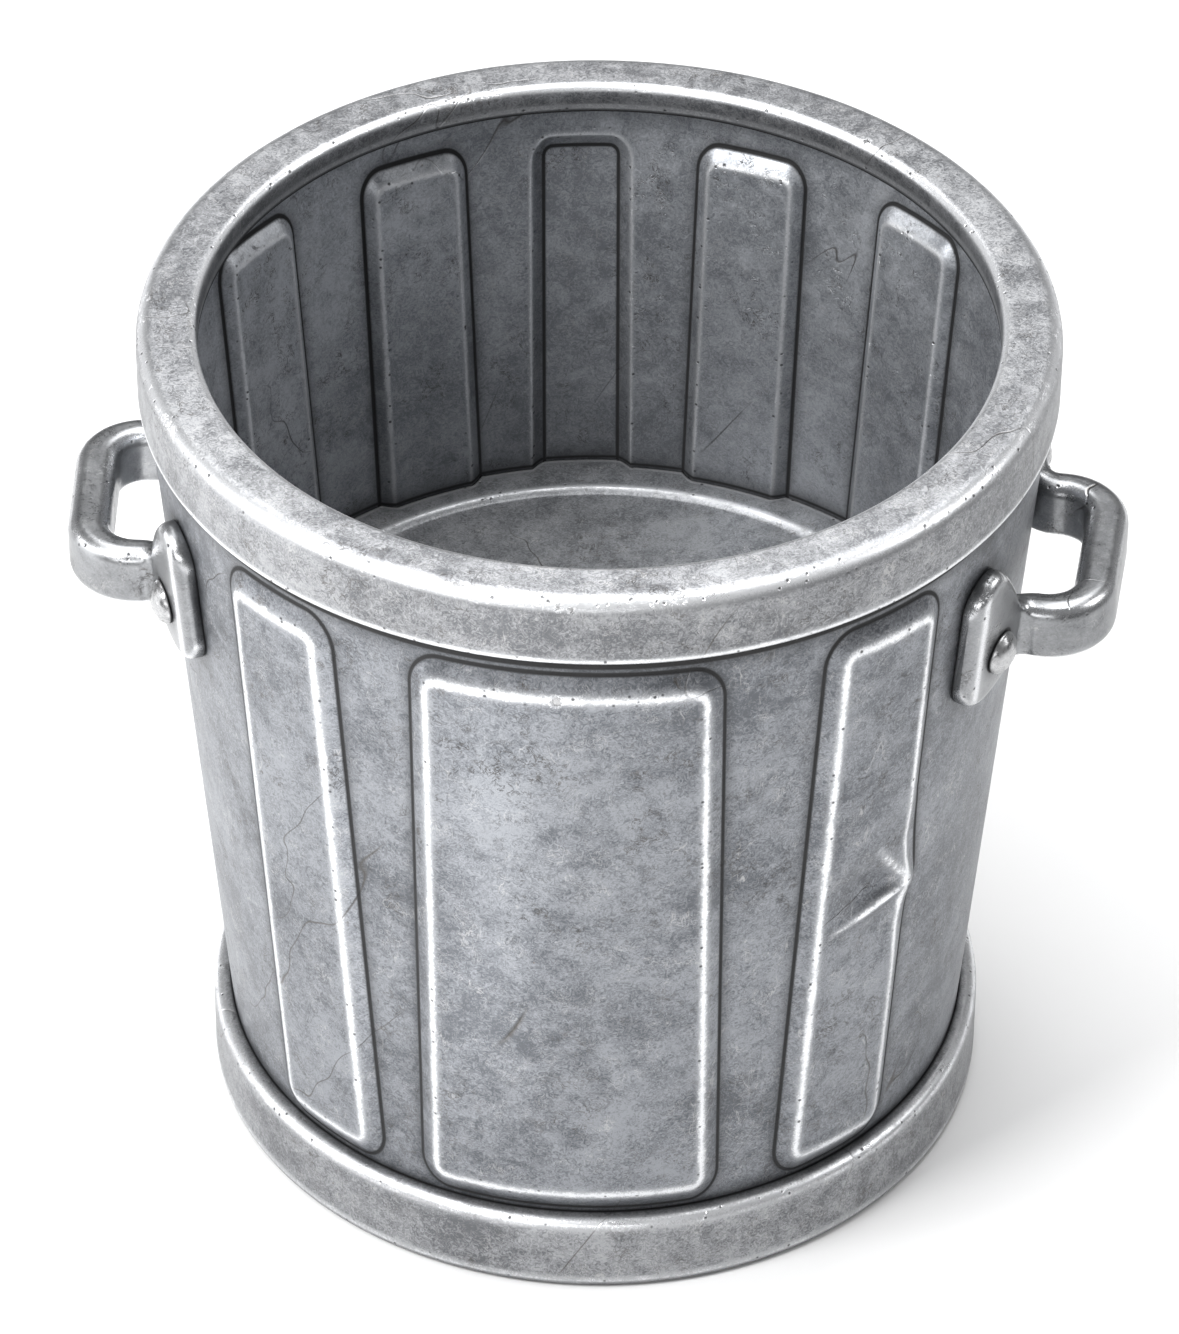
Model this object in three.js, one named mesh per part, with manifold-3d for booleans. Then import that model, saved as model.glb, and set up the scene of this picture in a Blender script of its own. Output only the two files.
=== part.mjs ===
// Galvanized steel trash can, open at the top: a tapered wall with pressed panels and a
// wired edge, a rolled rim hoop, a base hoop, a recessed bottom pan, a raised inner floor
// and two bar handles, each held by two rivets.
//
// Units are millimetres and degrees, and +Z is up. The origin lies on the ground under the
// middle of the can, and the front is -Y. Azimuths run from the front towards +X.

import * as THREE from 'three';
import { mergeVertices } from 'three/addons/utils/BufferGeometryUtils.js';
import Module from 'manifold-3d';

const wasm = await Module();
wasm.setup();

// ---------------------------------------------------------------------------------------
// Driving dimensions
// ---------------------------------------------------------------------------------------

const CAN_HEIGHT = 513;
const SHEET = 1.2;              // wall, inner floor and bottom pan
const HOOP_SHEET = 2;           // rim hoop and base hoop
const GAP = 0.3;                // clearance between pieces that seat on each other
const COLUMNS = 48;             // facets round every plain ring

// Rim hoop: a rolled channel, open below, over the wall's wired edge
const RIM_RADIUS = 250;
const RIM_WIDTH = 33;           // outer side to the mouth
const RIM_OVERHANG = 5;         // outer side beyond the wall that enters it
const RIM_SKIRT_HEIGHT = 41;    // its outer side
const RIM_LIP_HEIGHT = 17;      // its inner side
const RIM_ROUND = 10;           // outer radius of its two upper edges
const RIM_RETURN_WIDTH = 7;     // the flange at the foot of its inner side
const HEM_ROUND = 2.5;          // lower outer edge, where the hem turns in to the wall

// Wall: a straight taper from one hoop to the other
const WALL_FOOT_RADIUS = 210.5; // outer face, where the wall enters the base hoop
const WIRE_RADIUS = 3.5;        // the wire that the wall's top edge is curled round

// Base hoop: a rolled channel round the wall's foot
const BASE_OVERHANG = 10.5;     // outer side beyond the wall that enters it
const BASE_HEIGHT = 49;
const BASE_TOP_ROUND = 7;
const BASE_FOOT_ROUND = 5;
const BASE_LIP_HEIGHT = 11;     // the lip inside the bottom pan's flange

// Bottom pan: a dish pressed upside down, its flange seamed into the wall's foot
const PAN_RAISE_HEIGHT = 24;    // ground to the underside of the pan
const PAN_ROUND = 6;
const PAN_STEP_INSET = 55;      // pan's edge to the ring where its middle is set up
const PAN_STEP_HEIGHT = 3;

// Inner floor: a round tray wedged in the taper, its edge shaped to the wall's panels
const FLOOR_DEPTH = 273;        // rim top down to the floor
const FLOOR_FLANGE = 13;
const FLOOR_ROUND = 4;
const FLOOR_STEP_INSET = 22;    // wall to the ring where the floor steps down
const FLOOR_STEP = 3;

// Pressed panels, all between the same two levels
const PANEL_TOP_MARGIN = 10;    // rim hoop's hem down to the panels
const PANEL_FOOT_MARGIN = 4;    // base hoop up to the panels
const CREST_ROUND = 10;         // corner radius of a panel's raised face
const FRONT_RELIEF = 6;
const FRONT_BEVEL = 14;
const BACK_RELIEF = 6.5;
const BACK_BEVEL = 8;
const WIDE_PANEL = 168;         // widths across the foot of the bevels
const SIDE_PANEL = 78;
const BACK_PANEL = 66;
const MIDDLE_BACK_PANEL = 58;
const LEFT_SIDE_AZIMUTH = -39;
const WIDE_AZIMUTH = 1;
const RIGHT_SIDE_AZIMUTH = 43.5;
const BACK_AZIMUTH = 187.5;     // middle of the five back panels
const BACK_PITCH = 23.7;        // middle back panel to the next
const BACK_OUTER_PITCH = 51;    // middle back panel to the outermost

// Handles: bars bent from the wall out to a straight grip, with a lug at each end
const HANDLE_AZIMUTH = 86;      // left and right of the front
const HANDLE_DROP = 136;        // rim top down to the middle of the grip
const HANDLE_STAND_OFF = 52.75; // wall out to the outer face of the grip
const GRIP_HEIGHT = 30;
const GRIP_THICKNESS = 22;
const LEG_THICKNESS = 19;
const LEG_SPACING = 108;        // middle to middle
const CORNER_RADIUS = 26;       // middle line of the bar, grip to leg
const LUG_BEND_RADIUS = 16;     // middle line of the bar, leg to lug
const LUG_THICKNESS = 11;
const LUG_RISE = 56;            // top of the lug above the top of the grip
const LUG_FALL = 7;             // foot of the lug below the underside of the grip
const LUG_END_ANGLE = 29;       // middle of the handle to the end of a lug
const LUG_ROUND = 16;           // corner radius of the lug's end
const BAR_EDGE_ROUND = 8;       // edges of the bar
const LUG_EDGE_ROUND = 6;       // outer edges of the lug
const LUG_BACK_ROUND = 1;       // edges of the lug against the wall

// Rivets
const RIVET_ANGLE = 21;         // middle of the handle to a rivet
const RIVET_SEAT_ANGLE = 2.3;   // half of the flat facet under a rivet
const RIVET_RISE = 7;           // middle of the grip up to the rivets
const SHANK_RADIUS = 4;
const HEAD_RADIUS = 11.5;
const HEAD_HEIGHT = 8;
const TAIL_RADIUS = 7;
const TAIL_HEIGHT = 3.5;

// Facets
const COLUMN_ANGLE = 7.5;       // widest column of the wall
const ROUND_STEPS = 3;          // facets in a quarter round that shows
const SMALL_STEPS = 2;          // facets in a small or hidden one
const CURL_STEPS = 4;           // facets in the wall's curl
const CURL_ANGLE = 270;
const RIVET_SIDES = 12;

// ---------------------------------------------------------------------------------------
// Levels and places worked out from them
// ---------------------------------------------------------------------------------------

const RAD = Math.PI / 180;
const MOUTH_RADIUS = RIM_RADIUS - RIM_WIDTH;
const WALL_TOP_RADIUS = RIM_RADIUS - RIM_OVERHANG;
const BASE_RADIUS = WALL_FOOT_RADIUS + BASE_OVERHANG;
const HEM_LEVEL = CAN_HEIGHT - RIM_SKIRT_HEIGHT;
const WALL_BOTTOM = HOOP_SHEET + GAP;
const WALL_SLOPE = (WALL_TOP_RADIUS - WALL_FOOT_RADIUS) / (HEM_LEVEL - BASE_HEIGHT);
const FLOOR_LEVEL = CAN_HEIGHT - FLOOR_DEPTH;
const PANEL_TOP = HEM_LEVEL - PANEL_TOP_MARGIN;
const PANEL_FOOT = BASE_HEIGHT + PANEL_FOOT_MARGIN;
const GRIP_LEVEL = CAN_HEIGHT - HANDLE_DROP;
const RIVET_LEVEL = GRIP_LEVEL + RIVET_RISE;

// The wire's curl stays clear of the wire although both are faceted
const CURL_INNER = (WIRE_RADIUS + GAP) / Math.cos((CURL_ANGLE / CURL_STEPS / 2) * RAD);
const CURL_OUTER = CURL_INNER + SHEET;
const WIRE_CENTRE_RADIUS = WALL_TOP_RADIUS - CURL_OUTER;
const WIRE_LEVEL = CAN_HEIGHT - HOOP_SHEET - GAP - CURL_OUTER;

const PANELS = [
  { azimuth: LEFT_SIDE_AZIMUTH, width: SIDE_PANEL, relief: FRONT_RELIEF, bevel: FRONT_BEVEL },
  { azimuth: WIDE_AZIMUTH, width: WIDE_PANEL, relief: FRONT_RELIEF, bevel: FRONT_BEVEL },
  { azimuth: RIGHT_SIDE_AZIMUTH, width: SIDE_PANEL, relief: FRONT_RELIEF, bevel: FRONT_BEVEL },
  { azimuth: BACK_AZIMUTH, width: MIDDLE_BACK_PANEL, relief: BACK_RELIEF, bevel: BACK_BEVEL },
];
for (const pitch of [-BACK_OUTER_PITCH, -BACK_PITCH, BACK_PITCH, BACK_OUTER_PITCH]) {
  const azimuth = BACK_AZIMUTH + pitch;
  PANELS.push({ azimuth, width: BACK_PANEL, relief: -BACK_RELIEF, bevel: BACK_BEVEL });
}

const HANDLES = [
  { name: 'handle_left', azimuth: -HANDLE_AZIMUTH },
  { name: 'handle_right', azimuth: HANDLE_AZIMUTH },
];

/** Outer radius of the wall at a height, without its panels. */
function wallRadius(z) {
  if (z > HEM_LEVEL) return WALL_TOP_RADIUS;
  return WALL_TOP_RADIUS - WALL_SLOPE * (HEM_LEVEL - z);
}

/** Azimuth brought into 0 to 360 degrees. */
function turn(azimuth) {
  return ((azimuth % 360) + 360) % 360;
}

/** Point at an azimuth, radius and height. */
function polar(azimuth, radius, z) {
  return new THREE.Vector3(radius * Math.sin(azimuth * RAD), -radius * Math.cos(azimuth * RAD), z);
}

// ---------------------------------------------------------------------------------------
// Geometry helpers
// ---------------------------------------------------------------------------------------

/** The same surface with shared vertices merged and flat-line triangles dropped. */
function weld(geometry) {
  const bare = geometry.clone();
  bare.deleteAttribute('normal');
  bare.deleteAttribute('uv');
  const merged = mergeVertices(bare, 1e-3);
  const corners = merged.getIndex().array;
  const kept = [];
  for (let i = 0; i < corners.length; i += 3) {
    const [a, b, c] = [corners[i], corners[i + 1], corners[i + 2]];
    if (a !== b && b !== c && c !== a) kept.push(a, b, c);
  }
  merged.setIndex(kept);
  merged.computeVertexNormals();
  return merged;
}

/** A closed meridian outline, [radius, height] points counter-clockwise, turned round Z. */
function revolve(outline) {
  const points = outline.map(([radius, z]) => new THREE.Vector2(radius, z));
  if (outline[0][0] > 0) points.push(points[0].clone());
  return weld(new THREE.LatheGeometry(points, COLUMNS).rotateX(Math.PI / 2));
}

/** Points of an arc in the meridian plane, both ends included, angles in degrees. */
function arc(centre, radius, from, to, steps = ROUND_STEPS) {
  const points = [];
  for (let i = 0; i <= steps; i++) {
    const angle = (from + ((to - from) * i) / steps) * RAD;
    points.push([centre[0] + radius * Math.cos(angle), centre[1] + radius * Math.sin(angle)]);
  }
  return points;
}

/** Triangles between two rings of points that run the same way round the can. */
function bridge(lower, upper, triangles) {
  const count = [lower.points.length, upper.points.length];
  if (count[0] === 1 || count[1] === 1) {
    const [ring, pole] = count[1] === 1 ? [lower, upper] : [upper, lower];
    for (let i = 0; i < ring.points.length; i++) {
      const next = (i + 1) % ring.points.length;
      const side = [ring.first + i, ring.first + next];
      if (pole === lower) side.reverse();
      triangles.push(...side, pole.first);
    }
    return;
  }
  let [i, j] = [0, 0];
  while (i < count[0] || j < count[1]) {
    const nextLower = ringAzimuth(lower, i + 1);
    const nextUpper = ringAzimuth(upper, j + 1);
    const even = count[0] === count[1];
    const lowerFirst = j >= count[1] || (i < count[0] && (even ? i <= j : nextLower <= nextUpper));
    const a = lower.first + (i % count[0]);
    const b = upper.first + (j % count[1]);
    if (lowerFirst) {
      i += 1;
      triangles.push(a, lower.first + (i % count[0]), b);
    } else {
      j += 1;
      triangles.push(a, upper.first + (j % count[1]), b);
    }
  }
}

/** Azimuth of a ring's point, counted on past a full turn. */
function ringAzimuth(ring, index) {
  const count = ring.points.length;
  const start = ring.azimuths[0];
  return turn(ring.azimuths[index % count] - start) + start + 360 * Math.floor(index / count);
}

/** One closed body through rings in order; a closed loop unless it starts on the axis. */
function ringBody(rings) {
  const positions = [];
  const triangles = [];
  for (const ring of rings) {
    ring.first = positions.length / 3;
    for (const point of ring.points) positions.push(point.x, point.y, point.z);
  }
  for (let i = 1; i < rings.length; i++) bridge(rings[i - 1], rings[i], triangles);
  if (rings[0].points.length > 1) bridge(rings[rings.length - 1], rings[0], triangles);
  const geometry = new THREE.BufferGeometry();
  geometry.setAttribute('position', new THREE.Float32BufferAttribute(positions, 3));
  geometry.setIndex(triangles);
  return weld(geometry);
}

/** A plain round ring, or the pole where its radius is nought. */
function plainRing(radius, z) {
  const azimuths = [];
  const count = radius === 0 ? 1 : COLUMNS;
  for (let i = 0; i < count; i++) azimuths.push((360 * i) / COLUMNS);
  return { azimuths, points: azimuths.map((azimuth) => polar(azimuth, radius, z)) };
}

/** A welded geometry as a solid for joining and cutting. */
function solidOf(geometry) {
  const mesh = new wasm.Mesh({
    numProp: 3,
    vertProperties: new Float32Array(geometry.getAttribute('position').array),
    triVerts: new Uint32Array(geometry.getIndex().array),
  });
  return new wasm.Manifold(mesh);
}

/** The geometry with a list of others cut out of it. */
function cut(geometry, tools) {
  let solid = solidOf(geometry);
  for (const tool of tools) solid = solid.subtract(solidOf(tool));
  const mesh = solid.getMesh();
  const result = new THREE.BufferGeometry();
  result.setAttribute('position', new THREE.BufferAttribute(mesh.vertProperties, 3));
  result.setIndex(new THREE.BufferAttribute(mesh.triVerts, 1));
  result.computeVertexNormals();
  return result;
}

// ---------------------------------------------------------------------------------------
// Wall columns: lines up the wall that follow the outline of every pressed panel
// ---------------------------------------------------------------------------------------

// Lines of a panel from its foot inwards: 0 foot, 1 crest, 2 end of the corner rounding.
const CORNER_LINE = 2;
// Rows from the foot of the panels to their top; the middle one lies at the inner floor.
const ROWS = [
  { line: 0, end: -1 },
  { line: 1, end: -1 },
  { line: 2, end: -1 },
  { line: CORNER_LINE, end: 0 },
  { line: 2, end: 1 },
  { line: 1, end: 1 },
  { line: 0, end: 1 },
];
const FLOOR_ROW = 3;

/** Height at a distance inside the panels' lower (-1) or upper (1) end, or of the floor. */
function rowLevel(end, inset) {
  if (end === 0) return FLOOR_LEVEL;
  return end < 0 ? PANEL_FOOT + inset : PANEL_TOP - inset;
}

/** Node of a panel's column where it crosses a row: azimuth, height and press depth. */
function panelNode(panel, column, row) {
  const corner = panel.bevel + CREST_ROUND;
  const insets = [0, panel.bevel, corner];
  const line = Math.min(column.line, row.line);
  let across = column.inner ?? panel.width / 2 - insets[column.line];
  let inset = insets[row.line];
  if (column.inner === undefined && row.end !== 0) {
    const steps = CORNER_LINE - line;
    const lean = steps === 0 ? 0 : (column.line - row.line) / steps;
    const angle = 45 * (1 + lean) * RAD;
    const radius = corner - insets[line];
    across = panel.width / 2 - corner + radius * Math.cos(angle);
    inset = corner - radius * Math.sin(angle);
  }
  const z = rowLevel(row.end, inset);
  const azimuth = panel.azimuth + (column.side * across) / wallRadius(z) / RAD;
  return { azimuth, z, relief: line === 0 ? 0 : panel.relief };
}

/** Columns of one panel, from its left foot to its right foot. */
function panelColumns(panel) {
  const corner = panel.bevel + CREST_ROUND;
  const flat = panel.width / 2 - corner;
  const flatDegrees = (2 * flat) / wallRadius(FLOOR_LEVEL) / RAD;
  const spans = Math.max(1, Math.ceil(flatDegrees / COLUMN_ANGLE));
  const lines = [0, 1, CORNER_LINE].map((line) => ({ side: -1, line }));
  for (let i = 1; i < spans; i++) {
    lines.push({ side: 1, line: CORNER_LINE, inner: flat * ((2 * i) / spans - 1) });
  }
  for (const line of [CORNER_LINE, 1, 0]) lines.push({ side: 1, line });
  return lines.map((column) => ROWS.map((row) => panelNode(panel, column, row)));
}

/** A straight column of the plain wall. */
function plainColumn(azimuth) {
  const insets = [0, FRONT_BEVEL, FRONT_BEVEL + CREST_ROUND];
  return ROWS.map((row) => ({ azimuth, z: rowLevel(row.end, insets[row.line]), relief: 0 }));
}

/** Azimuths of the four rivets. */
function rivetAzimuths() {
  return HANDLES.flatMap(({ azimuth }) => [azimuth - RIVET_ANGLE, azimuth + RIVET_ANGLE]);
}

/** All columns in order round the can, with plain ones wherever a step is too wide. */
function wallColumns() {
  const spans = PANELS.map((panel) => panelColumns(panel));
  for (const azimuth of rivetAzimuths()) {
    spans.push([plainColumn(azimuth - RIVET_SEAT_ANGLE), plainColumn(azimuth + RIVET_SEAT_ANGLE)]);
  }
  const at = (column) => column[FLOOR_ROW].azimuth;
  spans.sort((a, b) => turn(at(a[0])) - turn(at(b[0])));
  const columns = [];
  spans.forEach((span, index) => {
    columns.push(...span);
    const from = at(span[span.length - 1]);
    const gap = turn(at(spans[(index + 1) % spans.length][0]) - from);
    const steps = Math.ceil(gap / COLUMN_ANGLE);
    for (let i = 1; i < steps; i++) columns.push(plainColumn(from + (gap * i) / steps));
  });
  return columns;
}

const WALL_COLUMNS = wallColumns();

/** Ring along one row of the wall, moved in or out from its outer face. */
function rowRing(row, offset) {
  const nodes = WALL_COLUMNS.map((column) => column[row]);
  const points = nodes.map((n) => polar(n.azimuth, wallRadius(n.z) + n.relief + offset, n.z));
  return { azimuths: nodes.map((n) => n.azimuth), points };
}

/** Ring at any height near the floor that follows the wall's panels at a distance. */
function floorRing(offset, z) {
  const nodes = WALL_COLUMNS.map((column) => column[FLOOR_ROW]);
  const points = nodes.map((n) => polar(n.azimuth, wallRadius(z) + n.relief + offset, z));
  return { azimuths: nodes.map((n) => n.azimuth), points };
}

// ---------------------------------------------------------------------------------------
// Sub-parts
// ---------------------------------------------------------------------------------------

/** Tapered wall with pressed panels, its top edge curled inwards round the wire. */
function wallShell() {
  const centre = [WIRE_CENTRE_RADIUS, WIRE_LEVEL];
  const curlOut = arc(centre, CURL_OUTER, 0, CURL_ANGLE, CURL_STEPS);
  const curlBack = arc(centre, CURL_INNER, CURL_ANGLE, 0, CURL_STEPS);
  const lowRing = (z, offset) => plainRing(wallRadius(z) + offset, z);
  const rows = ROWS.map((row, index) => index);
  const rings = [
    lowRing(WALL_BOTTOM, 0),
    lowRing(BASE_HEIGHT, 0),
    ...rows.map((row) => rowRing(row, 0)),
    lowRing(HEM_LEVEL, 0),
    ...curlOut.map(([radius, z]) => plainRing(radius, z)),
    ...curlBack.map(([radius, z]) => plainRing(radius, z)),
    lowRing(HEM_LEVEL, -SHEET),
    ...rows.reverse().map((row) => rowRing(row, -SHEET)),
    lowRing(BASE_HEIGHT, -SHEET),
    lowRing(WALL_BOTTOM, -SHEET),
  ];
  return cut(ringBody(rings), rivetAzimuths().map((azimuth) => rivetHole(azimuth)));
}

/** Wire inside the wall's curl. */
function rimWire() {
  const step = CURL_ANGLE / CURL_STEPS;
  const section = [];
  for (let angle = 0; angle < 360 - step / 2; angle += step) {
    const [radius, z] = [WIRE_RADIUS * Math.cos(angle * RAD), WIRE_RADIUS * Math.sin(angle * RAD)];
    section.push([WIRE_CENTRE_RADIUS + radius, WIRE_LEVEL + z]);
  }
  return revolve(section);
}

/** Rim hoop: outer skirt with a hem on the wall, rounded top, short inner lip. */
function rimHoop() {
  const inner = RIM_ROUND - HOOP_SHEET;
  const outerCentre = [RIM_RADIUS - RIM_ROUND, CAN_HEIGHT - RIM_ROUND];
  const mouthCentre = [MOUTH_RADIUS + RIM_ROUND, CAN_HEIGHT - RIM_ROUND];
  const lipFoot = CAN_HEIGHT - RIM_LIP_HEIGHT;
  const hemCentre = [RIM_RADIUS - HEM_ROUND, HEM_LEVEL + HEM_ROUND];
  return revolve([
    [WALL_TOP_RADIUS + GAP, HEM_LEVEL],
    ...arc(hemCentre, HEM_ROUND, -90, 0, SMALL_STEPS),
    ...arc(outerCentre, RIM_ROUND, 0, 90),
    ...arc(mouthCentre, RIM_ROUND, 90, 180),
    [MOUTH_RADIUS, lipFoot],
    [MOUTH_RADIUS + RIM_RETURN_WIDTH, lipFoot],
    [MOUTH_RADIUS + RIM_RETURN_WIDTH, lipFoot + HOOP_SHEET],
    [MOUTH_RADIUS + HOOP_SHEET, lipFoot + HOOP_SHEET],
    ...arc(mouthCentre, inner, 180, 90, SMALL_STEPS),
    ...arc(outerCentre, inner, 90, 0),
    [RIM_RADIUS - HOOP_SHEET, HEM_LEVEL + HOOP_SHEET],
    [WALL_TOP_RADIUS + GAP, HEM_LEVEL + HOOP_SHEET],
  ]);
}

/** Base hoop: rounded outer band turned in to the wall above and under its foot below. */
function baseHoop() {
  const topCentre = [BASE_RADIUS - BASE_TOP_ROUND, BASE_HEIGHT - BASE_TOP_ROUND];
  const footCentre = [BASE_RADIUS - BASE_FOOT_ROUND, BASE_FOOT_ROUND];
  const lipOuter = wallRadius(WALL_BOTTOM) - 2 * (SHEET + GAP) - GAP;
  const upperInside = BASE_HEIGHT - HOOP_SHEET;
  return revolve([
    [lipOuter - HOOP_SHEET, 0],
    ...arc(footCentre, BASE_FOOT_ROUND, -90, 0, SMALL_STEPS),
    ...arc(topCentre, BASE_TOP_ROUND, 0, 90),
    [wallRadius(BASE_HEIGHT) + GAP, BASE_HEIGHT],
    [wallRadius(BASE_HEIGHT) + GAP, upperInside],
    ...arc(topCentre, BASE_TOP_ROUND - HOOP_SHEET, 90, 0, SMALL_STEPS),
    ...arc(footCentre, BASE_FOOT_ROUND - HOOP_SHEET, 0, -90, SMALL_STEPS),
    [lipOuter, HOOP_SHEET],
    [lipOuter, BASE_LIP_HEIGHT],
    [lipOuter - HOOP_SHEET, BASE_LIP_HEIGHT],
  ]);
}

/** Bottom pan: flange down inside the wall, rounded edge, plate with its middle set up. */
function bottomPan() {
  const fit = (z) => wallRadius(z) - SHEET - GAP;
  const top = PAN_RAISE_HEIGHT + SHEET;
  const edge = fit(WALL_BOTTOM);
  const topCentre = [edge - PAN_ROUND, top - PAN_ROUND];
  const ring = edge - PAN_STEP_INSET;
  const ringFoot = ring + PAN_STEP_HEIGHT;
  return revolve([
    [0, PAN_RAISE_HEIGHT + PAN_STEP_HEIGHT],
    [ring - SHEET, PAN_RAISE_HEIGHT + PAN_STEP_HEIGHT],
    [ringFoot - SHEET, PAN_RAISE_HEIGHT],
    ...arc(topCentre, PAN_ROUND - SHEET, 90, 0, SMALL_STEPS),
    [edge - SHEET, WALL_BOTTOM],
    [edge, WALL_BOTTOM],
    ...arc(topCentre, PAN_ROUND, 0, 90, SMALL_STEPS),
    [ringFoot, top],
    [ring, top + PAN_STEP_HEIGHT],
    [0, top + PAN_STEP_HEIGHT],
  ]);
}

/** Inner floor: flange down the wall, rounded edge, then a flat ring round a set-down disc. */
function innerFloor() {
  const seat = -SHEET - GAP;
  const foot = FLOOR_LEVEL - FLOOR_FLANGE;
  const step = wallRadius(FLOOR_LEVEL) - SHEET - FLOOR_STEP_INSET;
  const low = FLOOR_LEVEL - FLOOR_STEP;
  const centre = [seat - FLOOR_ROUND, FLOOR_LEVEL - FLOOR_ROUND];
  const round = arc(centre, FLOOR_ROUND, 0, 90, SMALL_STEPS);
  return ringBody([
    plainRing(0, low - SHEET),
    plainRing(step - FLOOR_STEP - SHEET / 2, low - SHEET),
    plainRing(step - SHEET / 2, FLOOR_LEVEL - SHEET),
    floorRing(seat - FLOOR_ROUND, FLOOR_LEVEL - SHEET),
    floorRing(seat - SHEET, FLOOR_LEVEL - FLOOR_ROUND),
    floorRing(seat - SHEET, foot),
    floorRing(seat, foot),
    ...round.map(([offset, z]) => floorRing(offset, z)),
    plainRing(step, FLOOR_LEVEL),
    plainRing(step - FLOOR_STEP, low),
    plainRing(0, low),
  ]);
}

/** Smooth step from 0 to 1 as a value runs from one limit to the other. */
function ease(value, from, to) {
  return THREE.MathUtils.smoothstep(value, from, to);
}

/** Depth of a quarter round at a distance from its tangent end. */
function roundDrop(distance, radius) {
  const reach = Math.min(Math.max(distance, 0), radius);
  return radius - Math.sqrt(radius * radius - reach * reach);
}

/**
 * Stations of half a handle, from the middle of the grip to the end of a lug. The frame
 * has X out through the middle of the grip and Y along it. Each station holds its place,
 * the direction of its outer side, how far the section reaches in and out, and its ends.
 */
function handleStations() {
  const wall = wallRadius(GRIP_LEVEL);
  const gripLine = wall + HANDLE_STAND_OFF - GRIP_THICKNESS / 2;
  const legLine = LEG_SPACING / 2;
  const lugLine = wall + GAP + LUG_THICKNESS / 2;
  const bendCentreY = legLine + LUG_BEND_RADIUS;
  const bendCentreX = Math.sqrt((lugLine + LUG_BEND_RADIUS) ** 2 - bendCentreY ** 2);
  const bendEnd = Math.atan2(bendCentreY, bendCentreX) / RAD;
  const bendStart = Math.atan2(legLine, bendCentreX) / RAD;
  const endDegrees = LUG_ROUND / lugLine / RAD;
  const straightEnd = LUG_END_ANGLE - endDegrees;
  const flareAt = (azimuth) => ease(azimuth, bendStart, straightEnd);
  const stations = [{ lug: 0, flare: 0, thickness: GRIP_THICKNESS, x: gripLine, y: 0, facing: 0 }];
  const cornerSteps = 2 * ROUND_STEPS;
  for (let i = 0; i <= cornerSteps; i++) {
    const facing = (90 * i) / cornerSteps;
    const thickness = THREE.MathUtils.lerp(GRIP_THICKNESS, LEG_THICKNESS, i / cornerSteps);
    const x = gripLine - CORNER_RADIUS + CORNER_RADIUS * Math.cos(facing * RAD);
    const y = legLine - CORNER_RADIUS + CORNER_RADIUS * Math.sin(facing * RAD);
    stations.push({ lug: 0, flare: 0, thickness, x, y, facing });
  }
  const bendTurn = 90 - bendEnd;
  const bendSteps = 2 * ROUND_STEPS;
  for (let i = 0; i <= bendSteps; i++) {
    const facing = 90 - (bendTurn * i) / bendSteps;
    const share = ease(i, 0, bendSteps);
    const x = bendCentreX - LUG_BEND_RADIUS * Math.cos(facing * RAD);
    const y = bendCentreY - LUG_BEND_RADIUS * Math.sin(facing * RAD);
    const thickness = THREE.MathUtils.lerp(LEG_THICKNESS, LUG_THICKNESS, share);
    const flare = flareAt(Math.atan2(y, x) / RAD);
    stations.push({ lug: share, flare, thickness, x, y, facing });
  }
  const azimuths = [RIVET_ANGLE - RIVET_SEAT_ANGLE, RIVET_ANGLE + RIVET_SEAT_ANGLE];
  for (const turnShare of [0, 0.35, 0.65, 0.85, 0.97]) {
    azimuths.push(straightEnd + endDegrees * turnShare);
  }
  const after = azimuths.filter((azimuth) => azimuth > bendEnd + 0.5).sort((a, b) => a - b);
  for (const azimuth of after) {
    const [x, y] = [lugLine * Math.cos(azimuth * RAD), lugLine * Math.sin(azimuth * RAD)];
    const past = (azimuth - straightEnd) * RAD * lugLine;
    const flare = flareAt(azimuth);
    stations.push({ lug: 1, flare, thickness: LUG_THICKNESS, x, y, facing: azimuth, past });
  }
  return stations;
}

/** Outline of the handle's section at a station, as [out, height] points. */
function handleSection(station) {
  const { lug, flare, thickness, past = 0 } = station;
  const drop = roundDrop(past, LUG_ROUND);
  const thin = roundDrop(past - LUG_ROUND + LUG_EDGE_ROUND, LUG_EDGE_ROUND) * lug;
  const low = GRIP_LEVEL - GRIP_HEIGHT / 2 - LUG_FALL * flare + drop;
  const high = GRIP_LEVEL + GRIP_HEIGHT / 2 + LUG_RISE * flare - drop;
  const inside = -thickness / 2;
  const outside = thickness / 2 - thin;
  const fullRound = THREE.MathUtils.lerp(BAR_EDGE_ROUND, LUG_EDGE_ROUND, lug);
  const outerRound = (fullRound * (outside - inside)) / thickness;
  const innerRound = THREE.MathUtils.lerp(BAR_EDGE_ROUND, LUG_BACK_ROUND, lug);
  const corner = (out, z, radius, from) => {
    const centre = [out - radius * Math.sign(out - (inside + outside) / 2),
      z - radius * Math.sign(z - (low + high) / 2)];
    return arc(centre, radius, from, from + 90, SMALL_STEPS);
  };
  return [
    ...corner(outside, low, outerRound, -90),
    ...corner(outside, high, outerRound, 0),
    ...corner(inside, high, innerRound, 90),
    ...corner(inside, low, innerRound, 180),
  ];
}

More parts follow.
